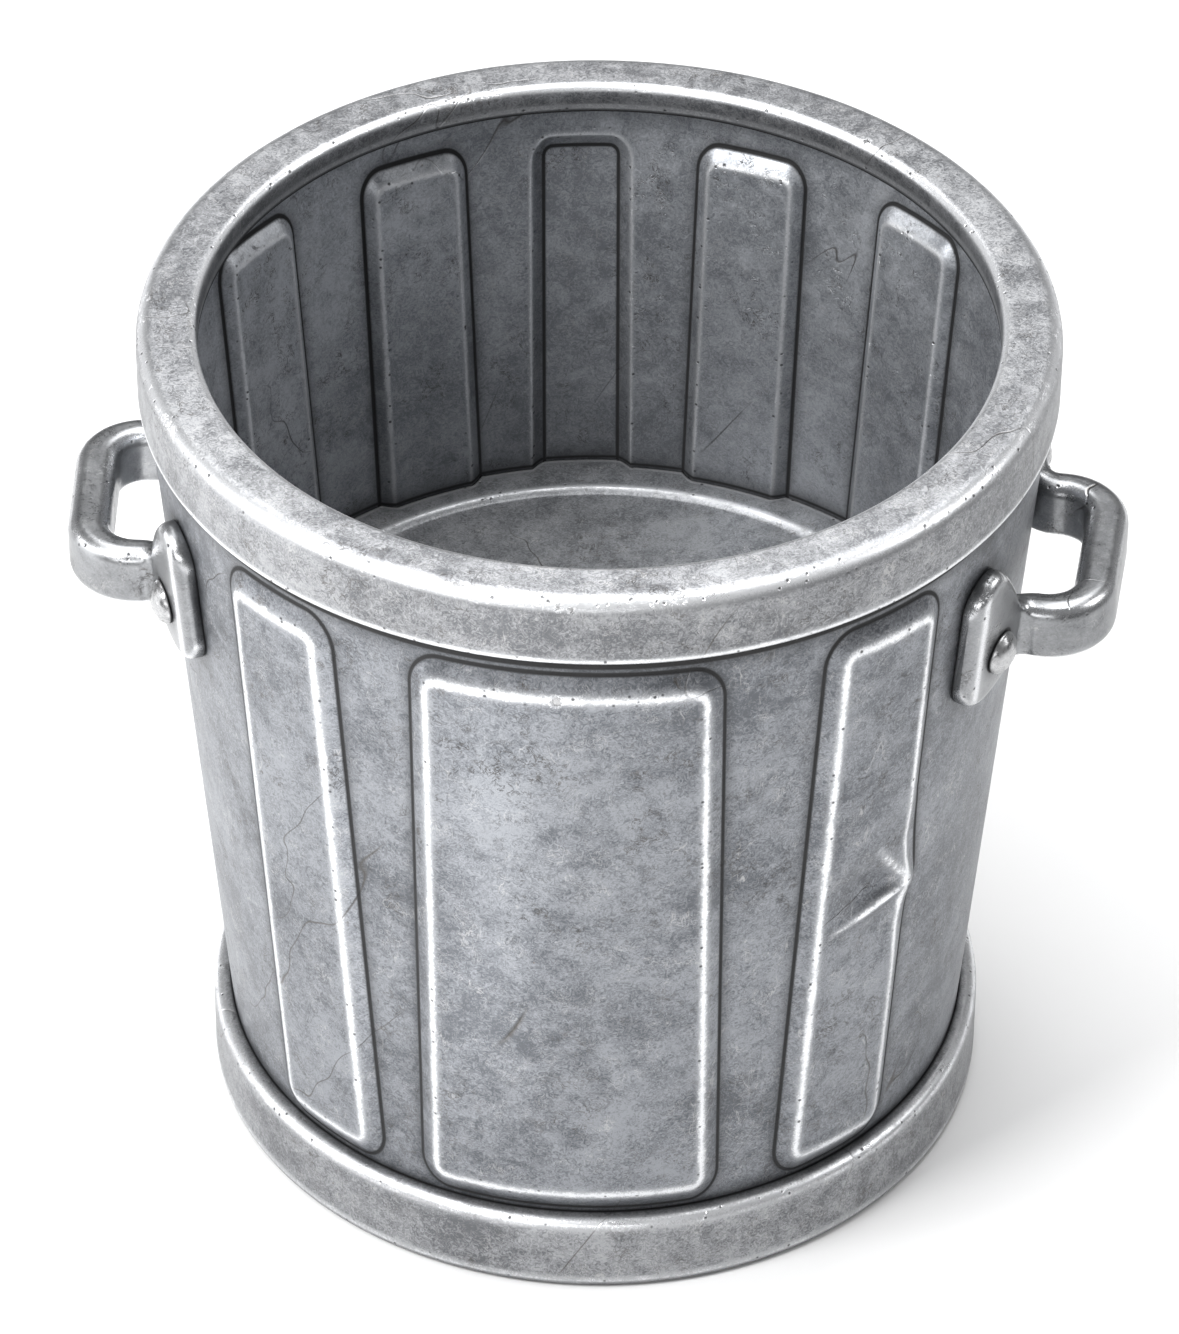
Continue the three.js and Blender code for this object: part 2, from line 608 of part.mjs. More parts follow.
/** One handle, bent from a bar, its lugs leaning with the wall. */
function handle(azimuth) {
  const half = handleStations();
  const mirrored = half.slice(1).reverse().map((s) => ({ ...s, y: -s.y, facing: -s.facing }));
  const stations = [...mirrored, ...half];
  const positions = [];
  const triangles = [];
  for (const station of stations) {
    for (const [out, z] of handleSection(station)) {
      const lean = WALL_SLOPE * (z - GRIP_LEVEL) * station.lug;
      const reach = out + lean;
      const x = station.x + reach * Math.cos(station.facing * RAD);
      const y = station.y + reach * Math.sin(station.facing * RAD);
      positions.push(x, y, z);
    }
  }
  const sides = handleSection(half[0]).length;
  for (let i = 1; i < stations.length; i++) {
    for (let j = 0; j < sides; j++) {
      const [a, b] = [(i - 1) * sides + j, (i - 1) * sides + ((j + 1) % sides)];
      triangles.push(a, a + sides, b, b, a + sides, b + sides);
    }
  }
  const last = (stations.length - 1) * sides;
  for (let j = 1; j < sides - 1; j++) {
    triangles.push(0, j, j + 1);
    triangles.push(last, last + j + 1, last + j);
  }
  const geometry = new THREE.BufferGeometry();
  geometry.setAttribute('position', new THREE.Float32BufferAttribute(positions, 3));
  geometry.setIndex(triangles);
  geometry.rotateZ((azimuth - 90) * RAD);
  const holes = [azimuth - RIVET_ANGLE, azimuth + RIVET_ANGLE].map((a) => rivetHole(a));
  return cut(weld(geometry), holes);
}

/** Turns a shape that points out along +Z into place on the wall at a rivet. */
function seatAtRivet(geometry, azimuth) {
  const radius = wallRadius(RIVET_LEVEL) * Math.cos(RIVET_SEAT_ANGLE * RAD);
  const lean = Math.atan(WALL_SLOPE);
  geometry.rotateX(Math.PI / 2 + lean);
  geometry.rotateZ(azimuth * RAD);
  const place = polar(azimuth, radius, RIVET_LEVEL);
  return geometry.translate(place.x, place.y, place.z);
}

/** A round body of few sides along +Z, from [radius, height] points on and off the axis. */
function turned(outline) {
  const points = outline.map(([radius, z]) => new THREE.Vector2(radius, z));
  return weld(new THREE.LatheGeometry(points, RIVET_SIDES).rotateX(Math.PI / 2));
}

/** Round hole for a rivet, through the wall and the lug. */
function rivetHole(azimuth) {
  const radius = SHANK_RADIUS + GAP;
  const [inner, outer] = [-3 * SHEET, LUG_THICKNESS + HEAD_HEIGHT];
  return seatAtRivet(turned([[0, inner], [radius, inner], [radius, outer], [0, outer]]), azimuth);
}

/** Rivet with a domed head on the lug and a flatter tail inside the wall. */
function rivet(azimuth) {
  const seat = GAP + LUG_THICKNESS + GAP;
  const tailSeat = -SHEET - GAP;
  const dome = (radius, height, share) => {
    return [radius * Math.cos(share * 90 * RAD), height * Math.sin(share * 90 * RAD)];
  };
  const outline = [[0, tailSeat - TAIL_HEIGHT]];
  for (const share of [0.6, 0.3, 0]) {
    const [radius, height] = dome(TAIL_RADIUS, TAIL_HEIGHT, share);
    outline.push([radius, tailSeat - height]);
  }
  outline.push([SHANK_RADIUS, tailSeat], [SHANK_RADIUS, seat]);
  for (const share of [0, 0.25, 0.5, 0.75]) {
    const [radius, height] = dome(HEAD_RADIUS, HEAD_HEIGHT, share);
    outline.push([radius, seat + height]);
  }
  outline.push([0, seat + HEAD_HEIGHT]);
  return seatAtRivet(turned(outline), azimuth);
}

// ---------------------------------------------------------------------------------------
// Assembly
// ---------------------------------------------------------------------------------------

const zincWall = new THREE.MeshStandardMaterial({ color: 0x9aa0a6, roughness: 0.5, metalness: 0.9 });
const zincHoop = new THREE.MeshStandardMaterial({ color: 0xa9adb1, roughness: 0.45, metalness: 0.9 });
const zincFloor = new THREE.MeshStandardMaterial({ color: 0x7d8286, roughness: 0.6, metalness: 0.85 });
const zincBar = new THREE.MeshStandardMaterial({ color: 0xa2a6aa, roughness: 0.4, metalness: 0.9 });
const steelRivet = new THREE.MeshStandardMaterial({ color: 0xb4b6b8, roughness: 0.35, metalness: 1 });
const steelWire = new THREE.MeshStandardMaterial({ color: 0x77797b, roughness: 0.6, metalness: 0.9 });

/** One named sub-part. */
function part(name, geometry, material) {
  const mesh = new THREE.Mesh(geometry, material);
  mesh.name = name;
  return mesh;
}

const can = new THREE.Group();
can.add(part('wall_shell', wallShell(), zincWall));
can.add(part('rim_wire', rimWire(), steelWire));
can.add(part('rim_hoop', rimHoop(), zincHoop));
can.add(part('base_hoop', baseHoop(), zincHoop));
can.add(part('bottom_pan', bottomPan(), zincFloor));
can.add(part('inner_floor', innerFloor(), zincFloor));
for (const { name, azimuth } of HANDLES) {
  const toBack = Math.sign(azimuth) * RIVET_ANGLE;
  can.add(part(name, handle(azimuth), zincBar));
  can.add(part(`${name}_rivet_front`, rivet(azimuth - toBack), steelRivet));
  can.add(part(`${name}_rivet_back`, rivet(azimuth + toBack), steelRivet));
}

export default can;
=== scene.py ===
# %% [markdown]
# # A galvanized steel trash can
#
# The real can is pressed and rolled from thin zinc-coated steel sheet: a tapered wall with
# pressed panels, a rolled rim hoop, a rolled base hoop, a tray-like floor, a bottom pan and
# two forged bar handles, each riveted through the wall. The CAD model fixes where all of
# that is. This lesson dresses it: every piece is made again with fine, smooth surfaces in
# exactly the same place, and gets a worn zinc finish.

# %% Load the packed model
import math

import bmesh
import bpy
import numpy as np
from mathutils import Matrix, Vector


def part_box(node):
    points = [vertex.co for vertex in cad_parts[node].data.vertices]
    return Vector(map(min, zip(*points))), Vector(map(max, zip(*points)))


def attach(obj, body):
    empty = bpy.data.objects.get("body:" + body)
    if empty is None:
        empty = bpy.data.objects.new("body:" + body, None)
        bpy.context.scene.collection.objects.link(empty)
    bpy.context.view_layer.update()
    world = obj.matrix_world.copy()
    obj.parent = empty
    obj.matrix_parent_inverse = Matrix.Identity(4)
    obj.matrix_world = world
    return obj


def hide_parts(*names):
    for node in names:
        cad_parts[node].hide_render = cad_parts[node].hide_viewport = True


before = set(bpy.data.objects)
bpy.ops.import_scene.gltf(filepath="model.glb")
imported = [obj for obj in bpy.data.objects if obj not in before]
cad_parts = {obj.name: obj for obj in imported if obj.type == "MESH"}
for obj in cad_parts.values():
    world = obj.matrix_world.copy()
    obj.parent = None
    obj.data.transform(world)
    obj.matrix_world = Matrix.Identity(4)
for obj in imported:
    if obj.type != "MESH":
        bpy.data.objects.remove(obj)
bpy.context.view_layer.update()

# %% [markdown]
# ## The camera
#
# The photograph looks down on the can from a long way off, so its perspective is weak. A
# long lens far away gives that. The camera stands on a line that leaves a target point on
# the can's axis, at an elevation above the horizon and an azimuth round the can, and is
# rolled by a fraction of a degree, as a hand-held camera is.

# %% Camera at the photograph's angle
CAMERA_ELEVATION = math.radians(39.148)
CAMERA_AZIMUTH = math.radians(5.0)      # from the front towards +X
CAMERA_ROLL = math.radians(0.319)
CAMERA_DISTANCE = 3.9677
CAMERA_TARGET = Vector((-0.00431, 0, 0.26847))
SENSOR = 36.0                           # mm, across the longer side of the picture
FOCAL_LENGTH = 191.07


def camera_matrix():
    """Where the camera stands and how it is turned."""
    back = Vector((0, -math.cos(CAMERA_ELEVATION), math.sin(CAMERA_ELEVATION)))
    level_right = Vector((1, 0, 0))
    level_up = back.cross(level_right)
    right = level_right * math.cos(CAMERA_ROLL) + level_up * math.sin(CAMERA_ROLL)
    up = level_up * math.cos(CAMERA_ROLL) - level_right * math.sin(CAMERA_ROLL)
    place = CAMERA_TARGET + back * CAMERA_DISTANCE
    axes = Matrix((right, up, back)).transposed().to_4x4()
    return Matrix.Rotation(CAMERA_AZIMUTH, 4, "Z") @ Matrix.Translation(place) @ axes


camera_data = bpy.data.cameras.new("camera")
camera_data.sensor_width = SENSOR
camera_data.lens = FOCAL_LENGTH
camera = bpy.data.objects.new("camera", camera_data)
bpy.context.scene.collection.objects.link(camera)
camera.matrix_world = camera_matrix()
bpy.context.scene.camera = camera
print("camera stands at", tuple(round(value, 3) for value in camera.location))

# %% [markdown]
# ## Sizes
#
# What the frame can say is read from it: the boxes of its nodes give the can's height, its
# radii and its levels. The rest are the sizes that the CAD model was drawn with, apart from
# a few that follow the photograph more closely by some millimetres: the mouth's round, the
# panels' crests and bevels, the rivets' heads, and the bars and lugs of the handles.
# Azimuths run from the front, -Y, towards +X, and every length is in metres.

# %% Sizes read from the frame
MM = 0.001
CAN_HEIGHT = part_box("rim_hoop")[1].z
RIM_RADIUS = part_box("rim_hoop")[1].x
HEM_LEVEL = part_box("rim_hoop")[0].z
BASE_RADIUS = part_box("base_hoop")[1].x
BASE_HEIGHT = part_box("base_hoop")[1].z
FLOOR_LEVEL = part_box("inner_floor")[1].z
FLOOR_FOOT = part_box("inner_floor")[0].z
WALL_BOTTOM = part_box("wall_shell")[0].z
LUG_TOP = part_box("handle_left")[1].z
LUG_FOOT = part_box("handle_left")[0].z
print(f"can {CAN_HEIGHT:.3f} m tall, rim radius {RIM_RADIUS:.4f}, base radius {BASE_RADIUS:.4f}")
print(f"hem at {HEM_LEVEL:.3f}, base hoop's top at {BASE_HEIGHT:.3f}, floor at {FLOOR_LEVEL:.3f}")

# %% Sizes of the sheet, the hoops and the pans
SHEET = 1.2 * MM
HOOP_SHEET = 2 * MM
GAP = 0.3 * MM

RIM_WIDTH = 33 * MM
RIM_OVERHANG = 5 * MM
RIM_LIP_HEIGHT = 17 * MM
RIM_ROUND = 10 * MM
MOUTH_ROUND = 5 * MM
RIM_RETURN_WIDTH = 7 * MM
HEM_ROUND = 2.5 * MM
MOUTH_RADIUS = RIM_RADIUS - RIM_WIDTH

WALL_TOP_RADIUS = RIM_RADIUS - RIM_OVERHANG
BASE_OVERHANG = 10.5 * MM
WALL_FOOT_RADIUS = BASE_RADIUS - BASE_OVERHANG
WALL_SLOPE = (WALL_TOP_RADIUS - WALL_FOOT_RADIUS) / (HEM_LEVEL - BASE_HEIGHT)
CURL_INNER = 4.57 * MM
CURL_OUTER = CURL_INNER + SHEET
WIRE_CENTRE_RADIUS = WALL_TOP_RADIUS - CURL_OUTER
WIRE_LEVEL = CAN_HEIGHT - HOOP_SHEET - GAP - CURL_OUTER

BASE_TOP_ROUND = 7 * MM
BASE_FOOT_ROUND = 5 * MM
BASE_LIP_HEIGHT = 11 * MM
PAN_RAISE_HEIGHT = 24 * MM
PAN_ROUND = 6 * MM
PAN_STEP_INSET = 55 * MM
PAN_STEP_HEIGHT = 3 * MM
FLOOR_ROUND = 4 * MM
FLOOR_STEP_INSET = 22 * MM
FLOOR_STEP = 3 * MM
print(f"mouth radius {MOUTH_RADIUS:.4f} m, wall radius {WALL_FOOT_RADIUS:.4f} to {WALL_TOP_RADIUS:.4f} m")

# %% Sizes of the pressed panels
PANEL_TOP = HEM_LEVEL - 10 * MM
PANEL_FOOT = BASE_HEIGHT + 4 * MM
CREST_ROUND = 5 * MM
END_STRETCH = 1.35                      # how much longer the bevels are at a panel's ends
FRONT_RELIEF, FRONT_BEVEL = 6 * MM, 12 * MM
BACK_RELIEF, BACK_BEVEL = 6.5 * MM, 8 * MM
BACK_AZIMUTH = 187.5
BACK_PITCHES = (-51, -23.7, 23.7, 51)   # from the back's middle panel to the four others

PANELS = [
    {"azimuth": -39.0, "width": 78 * MM, "relief": FRONT_RELIEF, "bevel": FRONT_BEVEL},
    {"azimuth": 1.0, "width": 168 * MM, "relief": FRONT_RELIEF, "bevel": FRONT_BEVEL},
    {"azimuth": 43.5, "width": 78 * MM, "relief": FRONT_RELIEF, "bevel": FRONT_BEVEL},
    {"azimuth": BACK_AZIMUTH, "width": 58 * MM, "relief": BACK_RELIEF, "bevel": BACK_BEVEL},
]
for pitch in BACK_PITCHES:
    PANELS.append(
        {"azimuth": BACK_AZIMUTH + pitch, "width": 66 * MM, "relief": -BACK_RELIEF, "bevel": BACK_BEVEL}
    )
DENTED = PANELS[2]
PANELS.sort(key=lambda panel: panel["azimuth"] % 360)
print(len(PANELS), "panels at azimuths", [panel["azimuth"] % 360 for panel in PANELS])

# %% Sizes of the handles and rivets
HANDLE_AZIMUTH = 86.0
HANDLE_STAND_OFF = 52.75 * MM
GRIP_HEIGHT = 36 * MM
GRIP_THICKNESS = 23.5 * MM
LEG_THICKNESS = 20.5 * MM
LEG_SPACING = 108 * MM
CORNER_RADIUS = 26 * MM
LUG_BEND_RADIUS = 16 * MM
LUG_THICKNESS = 11 * MM
GRIP_TOP = LUG_TOP - 55 * MM
LUG_RISE = 48 * MM                      # from the grip's top to the lug's
LUG_FALL = 6 * MM
LUG_END_ANGLE = math.radians(27.8)
LUG_ROUND = 20 * MM
BAR_EDGE_ROUND = 8.5 * MM
LUG_EDGE_ROUND = 8 * MM
LUG_BACK_ROUND = 1 * MM
GRIP_LEVEL = GRIP_TOP - GRIP_HEIGHT / 2
RIVET_ANGLE = 21.0
RIVET_LEVEL = (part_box("handle_left_rivet_front")[0].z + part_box("handle_left_rivet_front")[1].z) / 2
SHANK_RADIUS = 4 * MM
HEAD_RADIUS = 12.3 * MM
HEAD_HEIGHT = 8 * MM
TAIL_RADIUS = 7 * MM
TAIL_HEIGHT = 3.5 * MM
print(f"grips at {GRIP_LEVEL:.3f} m, rivets at {RIVET_LEVEL:.3f} m, lugs down to {LUG_FOOT:.3f} m")

# %% [markdown]
# ## Distances that the finish needs
#
# Worn zinc tells where its edges are. Raised creases are rubbed bright and get a painted
# highlight, folds and seams hold dirt and get painted shade. A shader can't see an edge by
# itself, so every piece is given three distances at each of its points: `edge`, to the
# nearest raised crease, `fold`, to the nearest inward fold, and `touch`, to the nearest
# other piece or to where a painted shadow lies. They are plain mesh attributes in
# millimetres. A distance blends well between points, so the lines drawn from it stay thin
# and crisp even where the mesh is coarser than they are.

# %% Putting objects in the scene, and measuring their meshes


def placed(name, data):
    """A new object in the scene, at the origin."""
    made = bpy.data.objects.new(name, data)
    bpy.context.scene.collection.objects.link(made)
    return made


def report_mesh(piece):
    """Prints what a finished piece's mesh holds, and how many of its edges aren't closed."""
    shape = bmesh.new()
    shape.from_mesh(piece.data)
    loose = sum(not edge.is_contiguous for edge in shape.edges)
    volume = shape.calc_volume(signed=True)
    triangles = sum(len(face.verts) - 2 for face in shape.faces)
    shape.free()
    print(f"{piece.name}: {triangles} triangles, {volume * 1e6:.0f} cm3, {loose} open edges")


# %% Making a piece from points, faces and distances
FAR = 40.0                              # mm, a distance that no finish reacts to
DISTANCES = ("edge", "fold", "touch")


def store_distance(mesh, key, values):
    """Keeps a distance in metres as a mesh attribute in millimetres."""
    values = np.clip(np.asarray(values) / MM, -FAR, FAR).astype(np.float32)
    mesh.attributes.new(key, "FLOAT", "POINT").data.foreach_set("value", values)


def piece_from(name, points, faces, distances):
    """An object at the origin whose mesh holds the points, faces and named distances."""
    mesh = bpy.data.meshes.new(name)
    mesh.from_pydata([tuple(point) for point in points], [], faces)
    for key in DISTANCES:
        store_distance(mesh, key, distances.get(key, np.full(len(points), 1.0)))
    mesh.polygons.foreach_set("use_smooth", [True] * len(mesh.polygons))
    mesh.validate()
    return placed(name, mesh)


def grid_faces(rows, columns, close_rows):
    """Four-sided faces of a grid whose columns close on themselves, and its rows if asked."""
    faces = []
    for row in range(rows if close_rows else rows - 1):
        here, above = row * columns, (row + 1) % rows * columns
        for column in range(columns):
            beside = (column + 1) % columns
            faces.append((here + column, here + beside, above + beside, above + column))
    return faces


print("a distance of", FAR, "mm or more leaves every finish as it is")

# %% [markdown]
# ## The wall
#
# The wall is one sheet. It could be a cylinder with panels cut in by booleans, but the
# bevels would come out ragged. Here it is a grid of points instead. Its columns run up the
# taper at a steady width in millimetres from each panel's middle, so a column lies on every
# bevel, and its rows crowd together where the panels end. One function says how far inside
# a panel any point is, and from that distance come the bevel's height, the worn edge and
# the dirty fold. The same rows then go down the inside, one sheet's thickness in.

# %% The taper, and how far a point lies inside a panel


def wall_radius(z):
    """Outer radius of the plain wall at a height."""
    return WALL_TOP_RADIUS - WALL_SLOPE * np.maximum(HEM_LEVEL - z, 0)


def inside_outline(across, up, half_width, half_height, corner):
    """Distance inside a rectangle with round corners, negative outside it."""
    side = np.abs(across) - (half_width - corner)
    end = np.abs(up) - (half_height - corner)
    beyond = np.hypot(np.maximum(side, 0), np.maximum(end, 0))
    return corner - beyond - np.minimum(np.maximum(side, end), 0)


def panel_distances(azimuth, z):
    """Distance inside the nearest panel at points of the wall, with its relief and bevel."""
    nearest = np.full(np.shape(azimuth), -1.0)
    relief = np.zeros_like(nearest)
    bevel = np.full_like(nearest, FRONT_BEVEL)
    middle = (PANEL_TOP + PANEL_FOOT) / 2
    for panel in PANELS:
        turn = (azimuth - math.radians(panel["azimuth"]) + math.pi) % (2 * math.pi) - math.pi
        corner = panel["bevel"] + CREST_ROUND
        half_width, half_height = panel["width"] / 2, (PANEL_TOP - PANEL_FOOT) / 2 / END_STRETCH
        up = (z - middle) / END_STRETCH
        inside = inside_outline(turn * wall_radius(z), up, half_width, half_height, corner)
        nearer = inside > nearest
        nearest = np.where(nearer, inside, nearest)
        relief = np.where(nearer, panel["relief"], relief)
        bevel = np.where(nearer, panel["bevel"], bevel)
    return nearest, relief, bevel


def pressed_height(inside, relief, bevel):
    """How far the sheet is pressed out: steep at the fold, easing into the raised face."""
    share = np.clip(inside / bevel, 0, 1)
    return relief * (0.4 * share + 0.6 * np.sin(share * math.pi / 2))


print(f"the wall is {float(wall_radius(FLOOR_LEVEL)):.4f} m in radius at the floor")

# %% [markdown]
# ### The dent
#
# Something has hit the right front panel at its right edge. The blow left two creases that
# meet in a point there, one running up to the left and one nearly level, with a shallow
# bowl between them, and it pushed the panel's edge a few millimetres sideways. The dent is a
# height added to the wall: nought along both creases, lower between and beside them, and
# fading with the distance from the point.

# %% The dent's bowl
DENT_ACROSS = 31 * MM                   # from the panel's middle to the point
DENT_LEVEL = 0.249
DENT_DEPTH = 6.5 * MM
DENT_REACH = 30 * MM
UPPER_CREASE = math.radians(121)        # directions seen from outside, 0 to the right
LOWER_CREASE = math.radians(191)
POINT_HEIGHT, POINT_WIDTH = 1.2 * MM, 9 * MM
BOWL_LEFT, BOWL_FADE = 36 * MM, 10 * MM     # where the bowl ends on the left


def dent_height(across, z):
    """Height that the dent adds to the wall, in the panel's own place and direction."""
    right, up = across - DENT_ACROSS, z - DENT_LEVEL
    reach = np.hypot(right, up) / DENT_REACH
    direction = np.arctan2(up, right) % (2 * math.pi)
    span = LOWER_CREASE - UPPER_CREASE
    share = (direction - UPPER_CREASE) / span
    between = np.sin(np.clip(share, 0, 1) * math.pi)
    over = np.clip(-share * 1.1, 0, 1) * np.clip((share + 1.9) / 0.9, 0, 1)
    under = np.clip((share - 1) * 1.3, 0, 1) * np.clip((2.3 - share) / 0.9, 0, 1)
    dip = between + 0.85 * over + 0.75 * under
    fade = reach * np.exp(1 - reach) * np.clip(2.1 - reach, 0, 1)
    ridge = POINT_HEIGHT * np.exp(-((right / POINT_WIDTH) ** 2) - (up / POINT_WIDTH) ** 2)
    return ridge - DENT_DEPTH * dip * fade * np.clip((across + BOWL_LEFT) / BOWL_FADE, 0, 1)


bowl = dent_height(DENT_ACROSS - DENT_REACH * np.linspace(0, 1, 9), DENT_LEVEL + 10 * MM)
print("height along the bowl, in mm:", [round(float(height) / MM, 1) for height in bowl])

# %% The dent's creases and pushed edge
UPPER_CREASE_LENGTH, LOWER_CREASE_LENGTH = 46 * MM, 54 * MM
PUSHED_EDGE = 5.5 * MM
PUSH_ABOVE, PUSH_BELOW = 34 * MM, 15 * MM


def crease_distance(across, z):
    """Distance to the nearer of the dent's two creases, growing faster past their ends."""
    right, up = across - DENT_ACROSS, z - DENT_LEVEL
    distance = np.full(np.shape(across), 1.0)
    for direction, length in ((UPPER_CREASE, UPPER_CREASE_LENGTH), (LOWER_CREASE, LOWER_CREASE_LENGTH)):
        along = right * math.cos(direction) + up * math.sin(direction)
        off = np.abs(right * math.sin(direction) - up * math.cos(direction))
        past = np.maximum(along - 0.6 * length, 0) * 0.09 + np.maximum(-along, 0)
        distance = np.minimum(distance, off + past + np.maximum(along - length, 0))
    return distance


def pushed_sideways(across, z):
    """How far the blow moved the panel's right edge, and what lies near it, to the right."""
    up = z - DENT_LEVEL
    width = np.where(up > 0, PUSH_ABOVE, PUSH_BELOW)
    weight = np.clip((across - 10 * MM) / (22 * MM), 0, 1) * np.clip((0.06 - across) / (18 * MM), 0, 1)
    return PUSHED_EDGE * np.exp(-np.abs(up / width) ** 1.4) * weight


pushed = float(pushed_sideways(DENTED["width"] / 2, DENT_LEVEL))
print(f"the panel's edge is pushed {pushed / MM:.1f} mm to the right")

# %% Columns of the wall's grid, in millimetres from a panel's edge or along the wall
FRONT_LINES = [0, 0.7, 1.6, 3, 5, 7.5, 9.5, 11, 12, 13, 14.2, 16, 19, 23]
BACK_LINES = [0, 0.7, 1.6, 3, 5, 6.5, 7.3, 8, 8.8, 10, 12, 15, 18]
OUTSIDE_LINES = [8, 4, 1.8, 0.7]
FACE_STEP, DENT_STEP, PLAIN_STEP = 10 * MM, 3 * MM, 11 * MM


def panel_lines(panel):
    """Distances from a panel's middle of the columns that follow it."""
    half = panel["width"] / 2
    lines = FRONT_LINES if panel["bevel"] == FRONT_BEVEL else BACK_LINES
    flat = half - lines[-1] * MM
    step = DENT_STEP if panel is DENTED else FACE_STEP
    face = np.linspace(-flat, flat, math.ceil(2 * flat / step) + 1)[1:-1]
    left = [-half - line * MM for line in OUTSIDE_LINES] + [-half + line * MM for line in lines]
    return np.array(left + list(face) + [-distance for distance in reversed(left)])


def plain_steps(panel, following):
    """Steps that the plain wall between two panels is divided into."""
    turn = math.radians((following["azimuth"] - panel["azimuth"]) % 360)
    width = turn * wall_radius(FLOOR_LEVEL) - (panel["width"] + following["width"]) / 2
    return math.ceil(width / PLAIN_STEP)


def wall_azimuths(z):
    """Azimuth of every column at the heights of the rows, one row of azimuths for each."""
    z = np.asarray(z)[:, None]
    spans = []
    for panel in PANELS:
        across = panel_lines(panel)[None, :]
        spans.append(math.radians(panel["azimuth"] % 360) + across / wall_radius(z))
    columns = []
    for index, span in enumerate(spans):
        last = index == len(spans) - 1
        following = spans[0][:, :1] + 2 * math.pi if last else spans[index + 1][:, :1]
        count = plain_steps(PANELS[index], PANELS[0 if last else index + 1])
        columns.append(span)
        columns.append(span[:, -1:] + (following - span[:, -1:]) * (np.arange(1, count) / count)[None, :])
    return np.concatenate(columns, axis=1)


print(wall_azimuths([FLOOR_LEVEL]).shape[1], "columns round the wall")

# %% Rows of the wall's grid
FOOT_LINES = [-24, -5, -1.5, -0.2, 0.5, 1.5, 3]     # mm above the base hoop's top
TOP_LINES = [0.7, 1.8, 4, 7, 9, 10.5, 18, 30]       # mm above the panels
DENT_ROWS_REACH = 54 * MM


def row_levels():
    """Heights of the rows, close together where the panels begin and end and at the dent."""
    lines = [line * END_STRETCH for line in sorted(set(FRONT_LINES + BACK_LINES))]
    below = [WALL_BOTTOM] + [BASE_HEIGHT + line * MM for line in FOOT_LINES]
    foot = [PANEL_FOOT + line * MM for line in lines]
    top = [PANEL_TOP - line * MM for line in reversed(lines)]
    dent = [DENT_LEVEL - DENT_ROWS_REACH, DENT_LEVEL + DENT_ROWS_REACH]
    middle = np.concatenate(
        [
            np.linspace(foot[-1], dent[0], 13)[1:],
            np.linspace(dent[0], dent[1], 37)[1:],
            np.linspace(dent[1], top[0], 15)[1:-1],
        ]
    )
    above = [PANEL_TOP + line * MM for line in TOP_LINES]
    return np.array(below + foot + list(middle) + top + above)


levels = row_levels()
print("wall grid:", wall_azimuths(levels).shape, "rows and columns")

# %% [markdown]
# The handles' lugs lie flat on the wall, with dirt in the seam and painted shade round them,
# so the wall needs the distance to their outlines. The lugs widen from the leg to their round
# end by a smooth step, which is worked out here once and used again for the handles
# themselves.

# %% Outline of a lug on the wall
lug_wall = wall_radius(GRIP_LEVEL)
GRIP_LINE = lug_wall + HANDLE_STAND_OFF - GRIP_THICKNESS / 2
LEG_LINE = LEG_SPACING / 2
LUG_LINE = lug_wall + GAP + LUG_THICKNESS / 2
BEND_Y = LEG_LINE + LUG_BEND_RADIUS
BEND_X = math.sqrt((LUG_LINE + LUG_BEND_RADIUS) ** 2 - BEND_Y**2)
BEND_END = math.atan2(BEND_Y, BEND_X)
BEND_START = math.atan2(LEG_LINE, BEND_X)
STRAIGHT_END = LUG_END_ANGLE - LUG_ROUND / LUG_LINE


def smooth_step(value, start, end):
    """A step from 0 to 1 that starts and ends gently."""
    share = np.clip((value - start) / (end - start), 0, 1)
    return share * share * (3 - 2 * share)


def round_drop(distance, radius):
    """Depth of a quarter round at a distance from where it starts."""
    reach = np.clip(distance, 0, radius)
    return radius - np.sqrt(radius * radius - reach * reach)


def lug_edges(angle):
    """Lower and upper edge of a lug at angles from the middle of its handle."""
    flare = smooth_step(angle, BEND_START, STRAIGHT_END)
    drop = round_drop((angle - STRAIGHT_END) * LUG_LINE, LUG_ROUND)
    low = GRIP_LEVEL - GRIP_HEIGHT / 2 - LUG_FALL * flare + drop
    high = GRIP_LEVEL + GRIP_HEIGHT / 2 + LUG_RISE * flare - drop
    return low, high


print(f"a lug spans {math.degrees(BEND_END):.1f} to {math.degrees(LUG_END_ANGLE):.1f} degrees of the wall")

# %% Distance to the lugs


def lug_distance(azimuth, z):
    """Distance from points of the wall to the nearest lug's outline, outside it."""
    rounded = (LUG_END_ANGLE - STRAIGHT_END) * np.sin(np.linspace(0.1, math.pi / 2, 12))
    angles = np.concatenate([np.linspace(BEND_END, STRAIGHT_END, 12), STRAIGHT_END + rounded])
    low, high = lug_edges(angles)
    outline = np.concatenate([np.stack([angles, high], -1), np.stack([angles, low], -1)[::-1]])
    nearest = np.full(np.shape(azimuth), 1.0)
    for side in (-1, 1):
        turn = (azimuth - math.radians(side * HANDLE_AZIMUTH) + math.pi) % (2 * math.pi) - math.pi
        across = np.abs(turn) * LUG_LINE
        for start, end in zip(outline, np.roll(outline, -1, axis=0)):
            edge = np.array([(end[0] - start[0]) * LUG_LINE, end[1] - start[1]])
            length = max(float(edge @ edge), 1e-12)
            right, up = across - start[0] * LUG_LINE, z - start[1]
            share = np.clip((right * edge[0] + up * edge[1]) / length, 0, 1)
            nearest = np.minimum(nearest, np.hypot(right - share * edge[0], up - share * edge[1]))
    return nearest


from_lug = lug_distance(np.array([math.radians(HANDLE_AZIMUTH)]), GRIP_LEVEL)
print(f"from behind a grip to the nearer lug: {float(from_lug[0]) / MM:.0f} mm")

# %% Points of the wall's two sides


